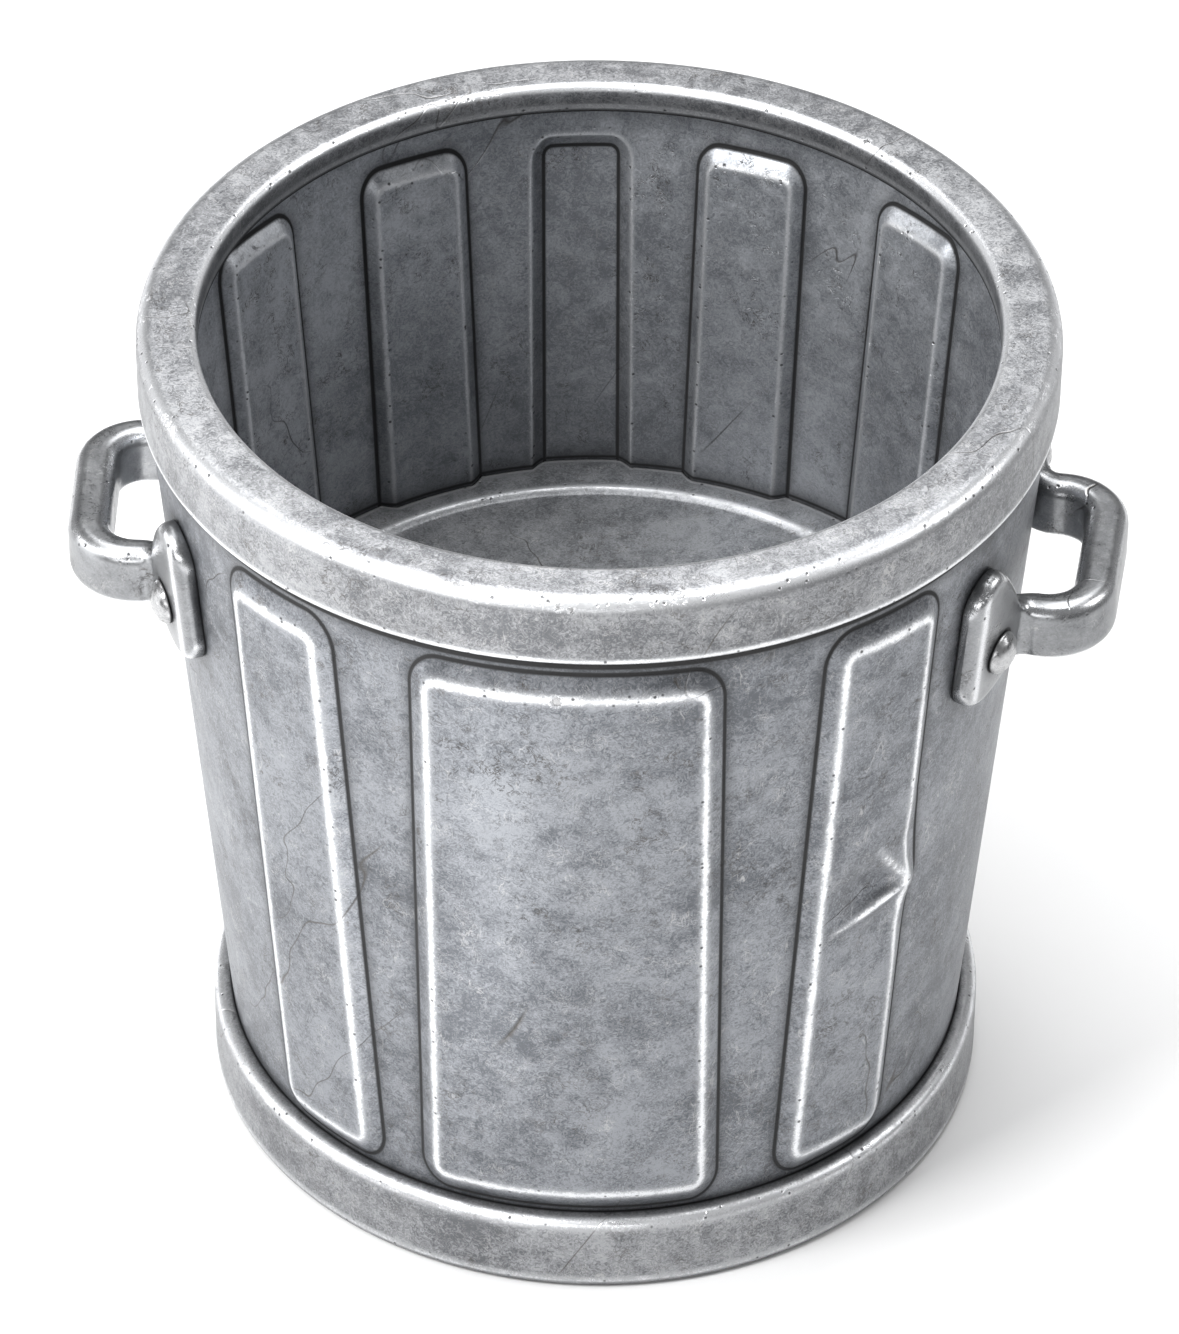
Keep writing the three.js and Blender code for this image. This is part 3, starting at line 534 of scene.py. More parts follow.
def around(azimuth, radius, z):
    """Points at azimuths, radii and heights."""
    z = np.broadcast_to(z, np.shape(azimuth))
    return np.stack([radius * np.sin(azimuth), -radius * np.cos(azimuth), z], -1)


RIM_SHADOW = 5.5 * MM                   # depth under the hem that is painted black as the rim's shadow, with painted shade below it
LIP_SHADOW = CAN_HEIGHT - 29 * MM       # where the lip's shadow starts on the inside
DENT_HALF_WIDTH, DENT_HALF_HEIGHT = 70 * MM, 60 * MM    # the window that the dent is worked out in
CREST_SHARE = 0.9                       # of a bevel's width, where its worn crest with its painted highlight lies


def wall_face(z, outer):
    """Points of one side of the wall at row heights, with their three distances."""
    azimuth = wall_azimuths(z)
    level = np.broadcast_to(np.asarray(z)[:, None], azimuth.shape)
    radius = wall_radius(level)
    inside, relief, bevel = panel_distances(azimuth, level)
    turn = azimuth - math.radians(DENTED["azimuth"])
    across = turn * radius
    near_dent = (np.abs(across) < DENT_HALF_WIDTH) & (np.abs(level - DENT_LEVEL) < DENT_HALF_HEIGHT)
    height = pressed_height(inside, relief, bevel)
    height = height + np.where(near_dent, dent_height(across, level) * np.clip(inside / (6 * MM), 0, 1), 0)
    moved = azimuth + np.where(near_dent, pushed_sideways(across, level) / radius, 0)
    points = around(moved, radius + height - (0 if outer else SHEET), level)
    raised = relief > 0 if outer else relief < 0
    edge = np.where(raised, inside - CREST_SHARE * bevel, inside)
    fold = np.where(raised, inside, inside - bevel)
    if outer:
        creases = np.where(near_dent & (inside > bevel), crease_distance(across, level), 1)
        edge = np.where(creases < np.abs(edge), creases, edge)
        # Dark seams at the base hoop and round the lugs with painted shade beside them, and a painted shadow
        # under the rim.
        touch = np.minimum(np.abs(level - BASE_HEIGHT), np.maximum(HEM_LEVEL - RIM_SHADOW - level, 0))
        touch = np.minimum(touch, lug_distance(azimuth, level))
    else:
        # Inside, painted shadow under the lip and painted shade along the floor.
        under_rim = np.maximum(LIP_SHADOW - level, 2 * MM)
        touch = np.minimum(np.abs(level - FLOOR_LEVEL), under_rim)
    return points, {"edge": edge, "fold": fold, "touch": touch}


print("points of the wall's outside:", wall_face(levels, True)[0].shape)

# %% Points of the wall's curled top edge


def wall_curl():
    """Points of the wall's top edge, curled inwards round the wire and back."""
    azimuth = wall_azimuths([HEM_LEVEL])
    turn_out = np.radians(np.linspace(0, 270, 10))
    section = [(CURL_OUTER, angle) for angle in turn_out] + [(CURL_INNER, angle) for angle in turn_out[::-1]]
    rows = []
    for reach, angle in section:
        radius = WIRE_CENTRE_RADIUS + reach * math.cos(angle)
        rows.append(around(azimuth, radius, WIRE_LEVEL + reach * math.sin(angle)))
    return np.concatenate(rows)


print("points of the curl:", wall_curl().shape)

# %% The wall itself
BELOW_FLOOR_STEP = 2                    # the hidden inside, under the floor, has half the rows
BELOW_FLOOR_TOP, BELOW_FLOOR_FOOT = DENT_LEVEL - 70 * MM, 80 * MM


def make_wall():
    """The tapered wall as one closed skin."""
    outer, outer_distances = wall_face(levels, True)
    inner_levels = [
        z for index, z in enumerate(levels)
        if z > BELOW_FLOOR_TOP or z < BELOW_FLOOR_FOOT or index % BELOW_FLOOR_STEP == 0
    ]
    inner, inner_distances = wall_face(inner_levels[::-1], False)
    curl = wall_curl()
    points = np.concatenate([outer, curl, inner])
    rows, columns = points.shape[:2]
    distances = {}
    hidden = np.full(curl.shape[:2], 1.0)
    for key in DISTANCES:
        distances[key] = np.concatenate([outer_distances[key], hidden, inner_distances[key]]).ravel()
    return piece_from("can_wall", points.reshape(-1, 3), grid_faces(rows, columns, True), distances)


wall = make_wall()
report_mesh(wall)

# %% [markdown]
# ## Node trees written as sums
#
# Both kinds of node tree below, geometry and shader, are mostly arithmetic. Wiring Math
# nodes by hand hides it, so a small class wraps an output socket and lets Python's own
# operators add the nodes: `1 - mask * 0.5` makes two Math nodes. Any other node comes from
# one method that takes its type, its settings and its inputs.

# %% A socket that can be added and multiplied


class Wire:
    """An output socket of a node tree."""

    def __init__(self, tree, socket):
        self.tree = tree
        self.socket = socket

    def math(self, operation, first, second=0.0):
        return self.tree.node("ShaderNodeMath", {"operation": operation}, {0: first, 1: second})

    def __add__(self, other):
        return self.math("ADD", self, other)

    def __radd__(self, other):
        return self.math("ADD", other, self)

    def __sub__(self, other):
        return self.math("SUBTRACT", self, other)

    def __rsub__(self, other):
        return self.math("SUBTRACT", other, self)

    def __mul__(self, other):
        return self.math("MULTIPLY", self, other)

    def __rmul__(self, other):
        return self.math("MULTIPLY", other, self)

    def __truediv__(self, other):
        return self.math("DIVIDE", self, other)

    def __rtruediv__(self, other):
        return self.math("DIVIDE", other, self)

    def __abs__(self):
        return self.math("ABSOLUTE", self)

    def larger(self, other):
        return self.math("MAXIMUM", self, other)

    def smaller(self, other):
        return self.math("MINIMUM", self, other)

    def over(self, limit):
        return self.math("GREATER_THAN", self, limit)

    def under(self, limit):
        return self.math("LESS_THAN", self, limit)

    def clamped(self):
        return self.larger(0.0).smaller(1.0)

    def root(self):
        return self.math("SQRT", self)

    def sine(self):
        return self.math("SINE", self)

    def cosine(self):
        return self.math("COSINE", self)

    def arc_cosine(self):
        return self.math("ARCCOSINE", self)


print("sums that a wire knows:", [name for name in vars(Wire) if not name.startswith("_")])

# %% A tree that makes nodes


class Tree:
    """A node tree with one short way of adding any node."""

    def __init__(self, node_tree):
        self.node_tree = node_tree

    def node(self, kind, settings=None, sockets=None, output=0):
        """Adds a node: its settings first, then its inputs, and gives one of its outputs."""
        made = self.node_tree.nodes.new(kind)
        for key, value in (settings or {}).items():
            setattr(made, key, value)
        for key, value in (sockets or {}).items():
            self.feed(self.find(made.inputs, key), value)
        found = self.find(made.outputs, output) if made.outputs else None
        return Wire(self, found)

    @staticmethod
    def find(sockets, key):
        """A socket by its place in the list or, among those in use, by its name."""
        if isinstance(key, int):
            return sockets[key]
        return next(socket for socket in sockets if socket.enabled and socket.name == key)

    def feed(self, socket, value):
        """Links a wire to a socket, or sets a plain value on it."""
        if isinstance(value, Wire):
            self.node_tree.links.new(value.socket, socket)
        else:
            socket.default_value = value


print("every other node comes from", Tree.node.__qualname__)

# %% [markdown]
# ## The finish: worn zinc
#
# Old galvanized sheet is grey with a bluish cast. It is cloudy at the size of a hand,
# mottled at the size of a finger, and close up it is covered in short, tangled scuffs.
# Longer scratches meander across it, and a few brown specks sit where the coating has
# failed. Edges are rubbed to bright metal with a ragged border, a painted highlight and small
# dark pits, a few places are chipped, and a dark line, part dirt and part painted shade, lies
# in every fold and seam, with painted soft shade beside it. It could be painted by hand on an
# unfolded mesh, but then every piece would need its own picture.
# Here one function builds all of it from noise on Object coordinates and from the three
# distances, so the pattern is continuous over each piece, and each finish is that function
# with its own tones.

# %% Patterns shared by all finishes


def noise(tree, place, scale, detail=2.0, roughness=0.5, distortion=0.0):
    """Soft random values from about 0.2 to 0.8 over the surface; scale is per metre."""
    sockets = {
        "Vector": place, "Scale": scale, "Detail": detail, "Roughness": roughness, "Distortion": distortion
    }
    return tree.node("ShaderNodeTexNoise", None, sockets)


def stretched(tree, place, scale, turn=(0, 0, 0), kind="POINT"):
    """The place scaled and turned, for patterns that run in one direction."""
    sockets = {"Vector": place, "Scale": scale, "Rotation": turn}
    return tree.node("ShaderNodeMapping", {"vector_type": kind}, sockets)


def hairline(value, level, width):
    """A thin line along which a noise has one level."""
    return (1 - abs(value - level) / width).clamped()


def spots(tree, place, scale, size, share):
    """Small round spots in some cells of a random pattern."""
    cells = {"Vector": place, "Scale": scale}
    distance = tree.node("ShaderNodeTexVoronoi", None, cells, "Distance")
    colour = tree.node("ShaderNodeTexVoronoi", None, cells, "Color")
    chosen = tree.node("ShaderNodeSeparateColor", None, {0: colour}).under(share)
    return (1 - distance / size).clamped() * chosen


def tint(tree, amount, below, above):
    """A colour between two, by an amount from 0 to 1."""
    settings = {"data_type": "RGBA"}
    return tree.node("ShaderNodeMix", settings, {"Factor": amount, "A": below, "B": above}, "Result")


def new_tree(name):
    """A material, its empty node tree and the Object coordinates to draw patterns on."""
    material = bpy.data.materials.new(name)
    material.use_nodes = True
    material.node_tree.nodes.clear()
    tree = Tree(material.node_tree)
    return material, tree, tree.node("ShaderNodeTexCoord", None, None, "Object")


def close_tree(tree, sockets):
    """Ends a material's tree with a Principled surface that has these inputs."""
    surface = tree.node("ShaderNodeBsdfPrincipled", None, sockets)
    tree.node("ShaderNodeOutputMaterial", None, {"Surface": surface})


print("each pattern adds a few nodes to the tree that it is given")

# %% Scratches, cracks and strokes
SLANT, GOUGE_SLANT = math.radians(38), math.radians(33)


def scratched(tree, place):
    """Masks of the light lines and of the dark ones."""
    slanting = stretched(tree, place, (1.0, 1.0, 0.32), (0, SLANT, 0))
    meander = noise(tree, slanting, 16.0, 5.0, 0.6, 0.3)
    broken = ((noise(tree, place, 70.0, 2.0) - 0.5) * 9.0).clamped()
    scratch = hairline(meander, 0.5, 0.0035) * broken
    crackle = noise(tree, place, 120.0, 3.0, 0.7, 1.6)
    patches = ((noise(tree, place, 24.0, 2.0) - 0.48) * 8.0).clamped()
    torn = ((noise(tree, place, 105.0, 1.0) - 0.47) * 9.0).clamped()
    crack = hairline(crackle, 0.54, 0.034) * patches * torn
    stroke = hairline(crackle, 0.45, 0.024) * (1 - patches) * broken
    along = stretched(tree, place, (1.0, 1.0, 9.0), (0, GOUGE_SLANT, 0), "TEXTURE")
    gouge = hairline(noise(tree, along, 9.0, 3.0, 0.45, 0.15), 0.5, 0.0022)
    gouge = gouge * ((noise(tree, place, 9.0, 1.0) - 0.52) * 12.0).clamped()
    return scratch.larger(stroke), crack, gouge


print("lines slant by", round(math.degrees(SLANT)), "and", round(math.degrees(GOUGE_SLANT)), "degrees")

# %% Rubbed edges with painted highlights, and dirt and painted shade, from the three distances
EDGE_HIGHLIGHT_SPREAD = 2.6                         # how much wider than the rubbed line its painted highlight is
PIT_REACH = 5.0                         # mm from an edge, within which it is pitted
FOLD_REACH, FOLD_RISE = 10.0, 3.0       # mm of shade on the two sides of a fold
FOLD_LINE, SEAM_LINE = 0.75, 0.9        # mm over which the dark lines, part dirt and part painted shade, fade


def distance_to(tree, name):
    """One of the piece's distances, in millimetres."""
    return tree.node("ShaderNodeAttribute", {"attribute_name": name}, None, "Fac")


def rubbed_and_highlit_edges(tree, place, ragged, edge_width, wear_and_highlight):
    """Masks of the bright metal along raised edges, worn and with a painted highlight, and of the dark pits
    beside it.
    """
    off = abs(distance_to(tree, "edge"))
    line = (1 - (off + ragged) / edge_width).clamped()
    painted_highlight = (1 - off / (edge_width * EDGE_HIGHLIGHT_SPREAD)).clamped()
    rubbed_and_highlit = (line * 0.8 + painted_highlight * painted_highlight * 0.45).smaller(1.0) * wear_and_highlight
    pits = spots(tree, place, 240.0, 0.28, 0.3)
    return rubbed_and_highlit, (pits * (1 - off / PIT_REACH).clamped() * 2.5).clamped()


def dirt_and_painted_shade(tree, shade_reach):
    """Masks of the painted soft shade beside folds and seams and of the dark lines in them, part dirt and
    part painted shade.
    """
    fold, touch = distance_to(tree, "fold"), distance_to(tree, "touch")
    fold_line = (1.9 - abs(fold) / FOLD_LINE).clamped()
    seam_line = (1.5 - touch / SEAM_LINE).clamped()
    fold_shade = (1 + fold / FOLD_REACH).smaller(1 - fold / FOLD_RISE).clamped()
    seam_shade = (1 - touch / shade_reach).clamped()
    shade = (fold_shade * fold_shade * 0.7).larger(seam_shade * seam_shade * 0.75)
    return shade, fold_line.larger(seam_line)


print("an edge is pitted up to", PIT_REACH, "mm away")

# %% The worn zinc finish
# Bright zinc for rubbed edges and nick borders, and for the painted highlight along edges.
BRIGHT_ZINC_AND_HIGHLIGHT = (0.86, 0.87, 0.89, 1)
DIRT_AND_SHADE = (0.010, 0.010, 0.011, 1)
SHADE = (0.035, 0.037, 0.041, 1)
RUST_SPECK = (0.13, 0.095, 0.065, 1)
CRACK = (0.075, 0.065, 0.055, 1)
SCRATCH_LIGHT = (0.62, 0.61, 0.60, 1)
DEPTH_SHADE_TOP = 0.44                    # below this height the inside is painted darker as shade, in metres
BUMP_HEIGHT = 0.8 * MM


def nicked(tree, colour, place, raggedness, nick):
    """The colour with one shallow chip that has a bright border, and the chip's mask."""
    azimuth, radius, level, size = nick
    middle = tuple(around(math.radians(azimuth), radius, level))
    offset = tree.node("ShaderNodeVectorMath", {"operation": "DISTANCE"}, {0: place, 1: middle}, "Value")
    reach = offset / size + raggedness
    colour = tint(tree, hairline(reach, 0.9, 0.25) * 0.7, colour, BRIGHT_ZINC_AND_HIGHLIGHT)
    hole = ((0.8 - reach) * 2.5).clamped()
    return tint(tree, hole * 0.45, colour, CRACK), hole


def worn_zinc(name, dark, light, roughness=0.42, metallic=0.75, edge_width=2.4, wear_and_highlight=1.0,
              scuffs=1.0, shade_reach=17.0, nicks=(), depth_shade=0.0):
    """A worn zinc finish between two greys, with painted highlights and painted shade; widths and reaches
    are in mm.
    """
    material, tree, place = new_tree(name)
    clouds = noise(tree, place, 11.0, 3.0, 0.55) - 0.5
    mottle = noise(tree, place, 62.0, 4.0, 0.62, 0.6) - 0.5
    scuff = noise(tree, place, 330.0, 3.0, 0.55, 2.2) - 0.5
    tone = 0.5 + clouds * 1.5 + mottle * (0.6 + 1.3 * scuffs) + scuff * (2.7 * scuffs)
    light_lines, crack, gouge = scratched(tree, place)
    ragged = (mottle * 5.0 + scuff * 6.0) * scuffs
    rubbed_and_highlit, pitted = rubbed_and_highlit_edges(tree, place, ragged, edge_width, wear_and_highlight)
    shade, dirt_and_shade_line = dirt_and_painted_shade(tree, shade_reach)

    colour = tint(tree, tone.clamped(), (*dark, 1), (*light, 1))
    colour = tint(tree, light_lines * 0.45, colour, SCRATCH_LIGHT)
    colour = tint(tree, crack.larger(gouge) * 0.8, colour, CRACK)
    # Rubbed bright metal along edges, spread wider by a painted highlight.
    colour = tint(tree, rubbed_and_highlit, colour, BRIGHT_ZINC_AND_HIGHLIGHT)
    colour = tint(tree, spots(tree, place, 75.0, 0.065, 0.14) * 0.8, colour, RUST_SPECK)
    colour = tint(tree, pitted * 0.8, colour, DIRT_AND_SHADE)
    height = scuff * 0.25 * scuffs + mottle * (0.1 + 0.3 * scuffs) - crack * 0.35
    height = height - gouge * 0.6 - pitted * 0.9
    for nick in nicks:
        colour, hole = nicked(tree, colour, place, scuff * 2.4 + mottle * 2.0, nick)
        height = height - hole * 1.5
    # Painted shade: the inside gets darker towards the bottom.
    if depth_shade:
        level = tree.node("ShaderNodeSeparateXYZ", None, {0: place}, "Z")
        depth_shade_share = ((DEPTH_SHADE_TOP - level) / (DEPTH_SHADE_TOP - FLOOR_LEVEL)).clamped()
        colour = tint(tree, depth_shade_share * depth_shade, colour, SHADE)
    # Painted shade beside folds and seams, then the dark lines in them, part dirt and part painted shade.
    colour = tint(tree, shade, colour, SHADE)
    colour = tint(tree, dirt_and_shade_line, colour, DIRT_AND_SHADE)

    gloss = roughness + mottle * 0.25 + scuff * 0.2 - rubbed_and_highlit * 0.1 + dirt_and_shade_line * 0.3
    bump = tree.node("ShaderNodeBump", None, {"Strength": 0.6, "Distance": BUMP_HEIGHT, "Height": height})
    close_tree(tree, {
        "Base Color": colour,
        "Roughness": gloss.clamped(),
        "Metallic": (metallic - dirt_and_shade_line * 0.7 - shade * 0.2).clamped(),
        "Normal": bump,
    })
    return material


print("worn zinc lies between two greys; rubbed edges are", BRIGHT_ZINC_AND_HIGHLIGHT[:3])

# %% The can's six finishes
# Small nicks: azimuth in degrees, then radius, height and size in metres.
WALL_NICKS = [(0.0, WALL_TOP_RADIUS + 4 * MM, PANEL_TOP - 15.5 * MM, 3.4 * MM)]
RIM_NICKS = [
    (0.2, RIM_RADIUS - 2.2 * MM, CAN_HEIGHT - 4 * MM, 2.6 * MM),
    (1.8, RIM_RADIUS - 1.6 * MM, CAN_HEIGHT - 5 * MM, 2.2 * MM),
    (143.0, MOUTH_RADIUS + 5 * MM, CAN_HEIGHT - 1.5 * MM, 3.0 * MM),
]
wall_zinc = worn_zinc("wall_zinc", (0.112, 0.119, 0.132), (0.305, 0.317, 0.339), nicks=WALL_NICKS)
# The inside's zinc is painted paler to stand in for light, and painted darker towards the bottom as shade.
inner_zinc_painted_lighter = worn_zinc(
    "inner_zinc_painted_lighter", (0.27, 0.283, 0.305), (0.60, 0.618, 0.65),
    roughness=0.46, edge_width=1.4, scuffs=0.8, depth_shade=0.5,
)
hoop_zinc = worn_zinc(
    "hoop_zinc", (0.14, 0.144, 0.153), (0.385, 0.391, 0.403),
    edge_width=2.9, shade_reach=9.0, nicks=RIM_NICKS,
)
floor_zinc = worn_zinc(
    "floor_zinc", (0.15, 0.156, 0.165), (0.34, 0.348, 0.36), roughness=0.5, wear_and_highlight=0.6
)
bar_zinc = worn_zinc(
    "bar_zinc", (0.15, 0.154, 0.16), (0.38, 0.387, 0.398),
    roughness=0.32, metallic=0.9, edge_width=3.4, wear_and_highlight=0.75, scuffs=0.35, shade_reach=11.0,
)
rivet_zinc = worn_zinc(
    "rivet_zinc", (0.30, 0.303, 0.31), (0.58, 0.58, 0.585),
    roughness=0.28, metallic=0.9, scuffs=0.5, shade_reach=2.5,
)
print("finishes:", [material.name for material in bpy.data.materials])

# %% [markdown]
# ### Dressing the wall
#
# The wall's inside gets a paler zinc, painted lighter to stand in for light, and is painted
# darker further down as shade, where less light reaches it. The wall gets both finishes, and
# each face takes one of them by the way that it looks.

# %% The wall's two finishes


def faces_inwards(mesh):
    """Whether each face of a mesh round the can looks towards the can's axis."""
    return [face.center.x * face.normal.x + face.center.y * face.normal.y < 0 for face in mesh.polygons]


def dress(piece, slot, *nodes):
    """Gives a finished piece its body and hides the CAD nodes that it stands for; slot is not used."""
    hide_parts(*nodes)
    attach(piece, "root")


wall.data.materials.append(wall_zinc)
wall.data.materials.append(inner_zinc_painted_lighter)
inner_faces = [int(inwards) for inwards in faces_inwards(wall.data)]
wall.data.polygons.foreach_set("material_index", inner_faces)
dress(wall, "galvanized_wall", "wall_shell")
print(sum(inner_faces), "of the wall's", len(inner_faces), "faces look inwards")

# %% [markdown]
# ## The hoops, the floor and the pan: sections swept round the can
#
# Rolled hoops are made by feeding a strip through shaped rollers, which gives it the same
# section all the way round, and then bending it into a ring. That is a rule, so a Geometry
# Nodes tree makes them: it takes the section as a line of points, sweeps it round a circle,
# and then moves the skin in and out a little, since no rolled hoop is perfectly true.

# %% Starting, feeding and ending a Geometry Nodes tree


def new_group(name, inputs):
    """A geometry tree, its input wires by name, and its inputs' identifiers by name."""
    group = bpy.data.node_groups.new(name, "GeometryNodeTree")
    group.interface.new_socket("Geometry", in_out="INPUT", socket_type="NodeSocketGeometry")
    group.interface.new_socket("Geometry", in_out="OUTPUT", socket_type="NodeSocketGeometry")
    identifiers = {}
    for title, kind in inputs.items():
        socket = group.interface.new_socket(title, in_out="INPUT", socket_type="NodeSocket" + kind)
        identifiers[title] = socket.identifier
    tree = Tree(group)
    given = group.nodes.new("NodeGroupInput")
    wires = {socket.name: Wire(tree, socket) for socket in given.outputs if socket.name}
    return tree, wires, identifiers


def moved_along_normals(tree, geometry, distance):
    """The geometry with each point moved along its normal."""
    normal = tree.node("GeometryNodeInputNormal")
    offset = tree.node(
        "ShaderNodeVectorMath", {"operation": "SCALE"}, {"Vector": normal, "Scale": distance}
    )
    return tree.node("GeometryNodeSetPosition", None, {"Geometry": geometry, "Offset": offset})


def close_group(tree, geometry, finish):
    """Gives the tree's result its finish and sends it out."""
    finished = tree.node("GeometryNodeSetMaterial", None, {"Geometry": geometry, "Material": finish})
    tree.node("NodeGroupOutput", None, {0: finished})


def grown(carrier, name, tree, identifiers, values):
    """The tree's result on the carrier as a plain piece, with the carrier and its modifier gone."""
    modifier = carrier.modifiers.new(name, "NODES")
    modifier.node_group = tree.node_tree
    for key, value in values.items():
        modifier[identifiers[key]] = value
    graph = bpy.context.evaluated_depsgraph_get()
    mesh = bpy.data.meshes.new_from_object(carrier.evaluated_get(graph), depsgraph=graph)
    bpy.data.objects.remove(carrier)
    mesh.name = name
    mesh.polygons.foreach_set("use_smooth", [True] * len(mesh.polygons))
    return placed(name, mesh)


print("geometry trees so far:", len(bpy.data.node_groups))

# %% A tree that sweeps a section round the can


def sweep_tree():
    """Section in, ring out, made uneven by a noise with a fixed seed."""
    tree, wires, identifiers = new_group("sweep_round_can", {
        "Radius": "Float", "Segments": "Int", "Waviness": "Float", "Wave scale": "Float",
        "Seed": "Float", "Finish": "Material",
    })
    shift = tree.node("ShaderNodeCombineXYZ", None, {"X": 0 - wires["Radius"]})
    # The section stands in the XZ plane. Turned a quarter round X it lies flat, as a sweep wants it.
    sockets = {"Geometry": wires["Geometry"], "Rotation": (math.pi / 2, 0, 0), "Translation": shift}
    flat = tree.node("GeometryNodeTransform", None, sockets)
    section = tree.node("GeometryNodeMeshToCurve", None, {0: flat})
    sockets = {"Resolution": wires["Segments"], "Radius": wires["Radius"]}
    circle = tree.node("GeometryNodeCurvePrimitiveCircle", None, sockets)
    ring = tree.node("GeometryNodeCurveToMesh", None, {"Curve": circle, "Profile Curve": section})
    here = tree.node("GeometryNodeInputPosition")
    sockets = {"Vector": here, "W": wires["Seed"], "Scale": wires["Wave scale"], "Detail": 2.0}
    wave = tree.node("ShaderNodeTexNoise", {"noise_dimensions": "4D"}, sockets)
    moved = moved_along_normals(tree, ring, (wave - 0.5) * 2 * wires["Waviness"])
    whole = tree.node("GeometryNodeRealizeInstances", None, {0: moved})
    close_group(tree, whole, wires["Finish"])
    return tree, identifiers


sweep, sweep_inputs = sweep_tree()
print("sweep tree's inputs:", list(sweep_inputs))

# %% Outlines and distances to marks on them


def arc(centre, radius, start, end, steps):
    """Points of an arc from one angle to another, in degrees, both ends included."""
    angles = np.radians(np.linspace(start, end, steps + 1))
    return [(centre[0] + radius * math.cos(a), centre[1] + radius * math.sin(a)) for a in angles]


def between(start, end, count):
    """Points that divide a line in equal parts, its start included and its end not."""
    across, up = end[0] - start[0], end[1] - start[1]
    shares = [index / count for index in range(count)]
    return [(start[0] + across * share, start[1] + up * share) for share in shares]


def filled(outline, step):
    """The closed outline with extra points on its long straight stretches."""
    points = []
    for start, end in zip(outline, outline[1:] + outline[:1]):
        points += between(start, end, max(1, math.ceil(math.dist(start, end) / step)))
    return points


def nearest_mark(points, marks):
    """Distance from each point to the nearest mark, each mark with a factor on its distance."""
    reach = [[math.dist(point, (x, z)) * factor for x, z, factor in marks] for point in points]
    return np.array(reach).min(axis=1)


print("a square's sides, filled:", len(filled([(0, 0), (0, 1), (1, 1), (1, 0)], 0.25)), "points")

# %% Sections, and pieces swept from them
SECTION_STEP = 3 * MM
WAVE_SCALE = 9.0                        # waves per metre of a rolled hoop's unevenness


def section_object(name, outline, edges, touches):
    """The closed section as a mesh of loose edges in the XZ plane, clockwise, with distances."""
    points = filled(outline, SECTION_STEP)
    area = sum(a[0] * b[1] - b[0] * a[1] for a, b in zip(points, points[1:] + points[:1]))
    if area > 0:
        points.reverse()
    mesh = bpy.data.meshes.new(name)
    count = len(points)
    lines = [(index, (index + 1) % count) for index in range(count)]
    mesh.from_pydata([(x, 0, z) for x, z in points], lines, [])
    store_distance(mesh, "edge", nearest_mark(points, edges))
    store_distance(mesh, "fold", np.full(count, 1.0))
    store_distance(mesh, "touch", nearest_mark(points, touches))
    return placed(name, mesh)


def swept(section, name, radius, segments, waviness, seed):
    """A hoop swept from its section by the tree."""
    return grown(section, name, sweep, sweep_inputs, {
        "Radius": radius, "Segments": segments, "Waviness": waviness, "Wave scale": WAVE_SCALE,
        "Seed": seed, "Finish": hoop_zinc,
    })


print(f"sections have a point every {SECTION_STEP / MM:.0f} mm or less")

# %% [markdown]
# ### The rim hoop
#
# Its section is a channel, open below: an outer skirt that turns in under itself to the
# wall, a flat top between two broad rounds, and a short lip inside the mouth. The rounds
# and the thin lower edges are rubbed bright, with a painted highlight along each.

# %% The rim hoop
DIAGONAL = math.sqrt(0.5)


def rim_outline():
    """Closed section of the rim hoop as radius and height."""
    inner = RIM_ROUND - HOOP_SHEET
    outer_centre = (RIM_RADIUS - RIM_ROUND, CAN_HEIGHT - RIM_ROUND)
    mouth_centre = (MOUTH_RADIUS + MOUTH_ROUND, CAN_HEIGHT - MOUTH_ROUND)
    hem_centre = (RIM_RADIUS - HEM_ROUND, HEM_LEVEL + HEM_ROUND)
    lip_foot = CAN_HEIGHT - RIM_LIP_HEIGHT
    return [
        (WALL_TOP_RADIUS + GAP, HEM_LEVEL),
        *arc(hem_centre, HEM_ROUND, -90, 0, 6),
        *arc(outer_centre, RIM_ROUND, 0, 90, 14),
        *arc(mouth_centre, MOUTH_ROUND, 90, 180, 10),
        (MOUTH_RADIUS, lip_foot),
        (MOUTH_RADIUS + RIM_RETURN_WIDTH, lip_foot),
        (MOUTH_RADIUS + RIM_RETURN_WIDTH, lip_foot + HOOP_SHEET),
        (MOUTH_RADIUS + HOOP_SHEET, lip_foot + HOOP_SHEET),
        *arc(mouth_centre, MOUTH_ROUND - HOOP_SHEET, 180, 90, 6),
        *arc(outer_centre, inner, 90, 0, 6),
        (RIM_RADIUS - HOOP_SHEET, HEM_LEVEL + HOOP_SHEET),
        (WALL_TOP_RADIUS + GAP, HEM_LEVEL + HOOP_SHEET),
    ]


def rim_edges():
    """Raised edges of the rim's section: the two top rounds, the hem and the lip's foot."""
    outer, mouth = RIM_ROUND * (1 - DIAGONAL), MOUTH_ROUND * (1 - DIAGONAL)
    return [
        (RIM_RADIUS - outer, CAN_HEIGHT - outer, 0.75),
        (MOUTH_RADIUS + mouth, CAN_HEIGHT - mouth, 1.35),
        (RIM_RADIUS, HEM_LEVEL + HEM_ROUND, 1.6),
        (MOUTH_RADIUS, CAN_HEIGHT - RIM_LIP_HEIGHT + 3.4 * MM, 1.8),
    ]


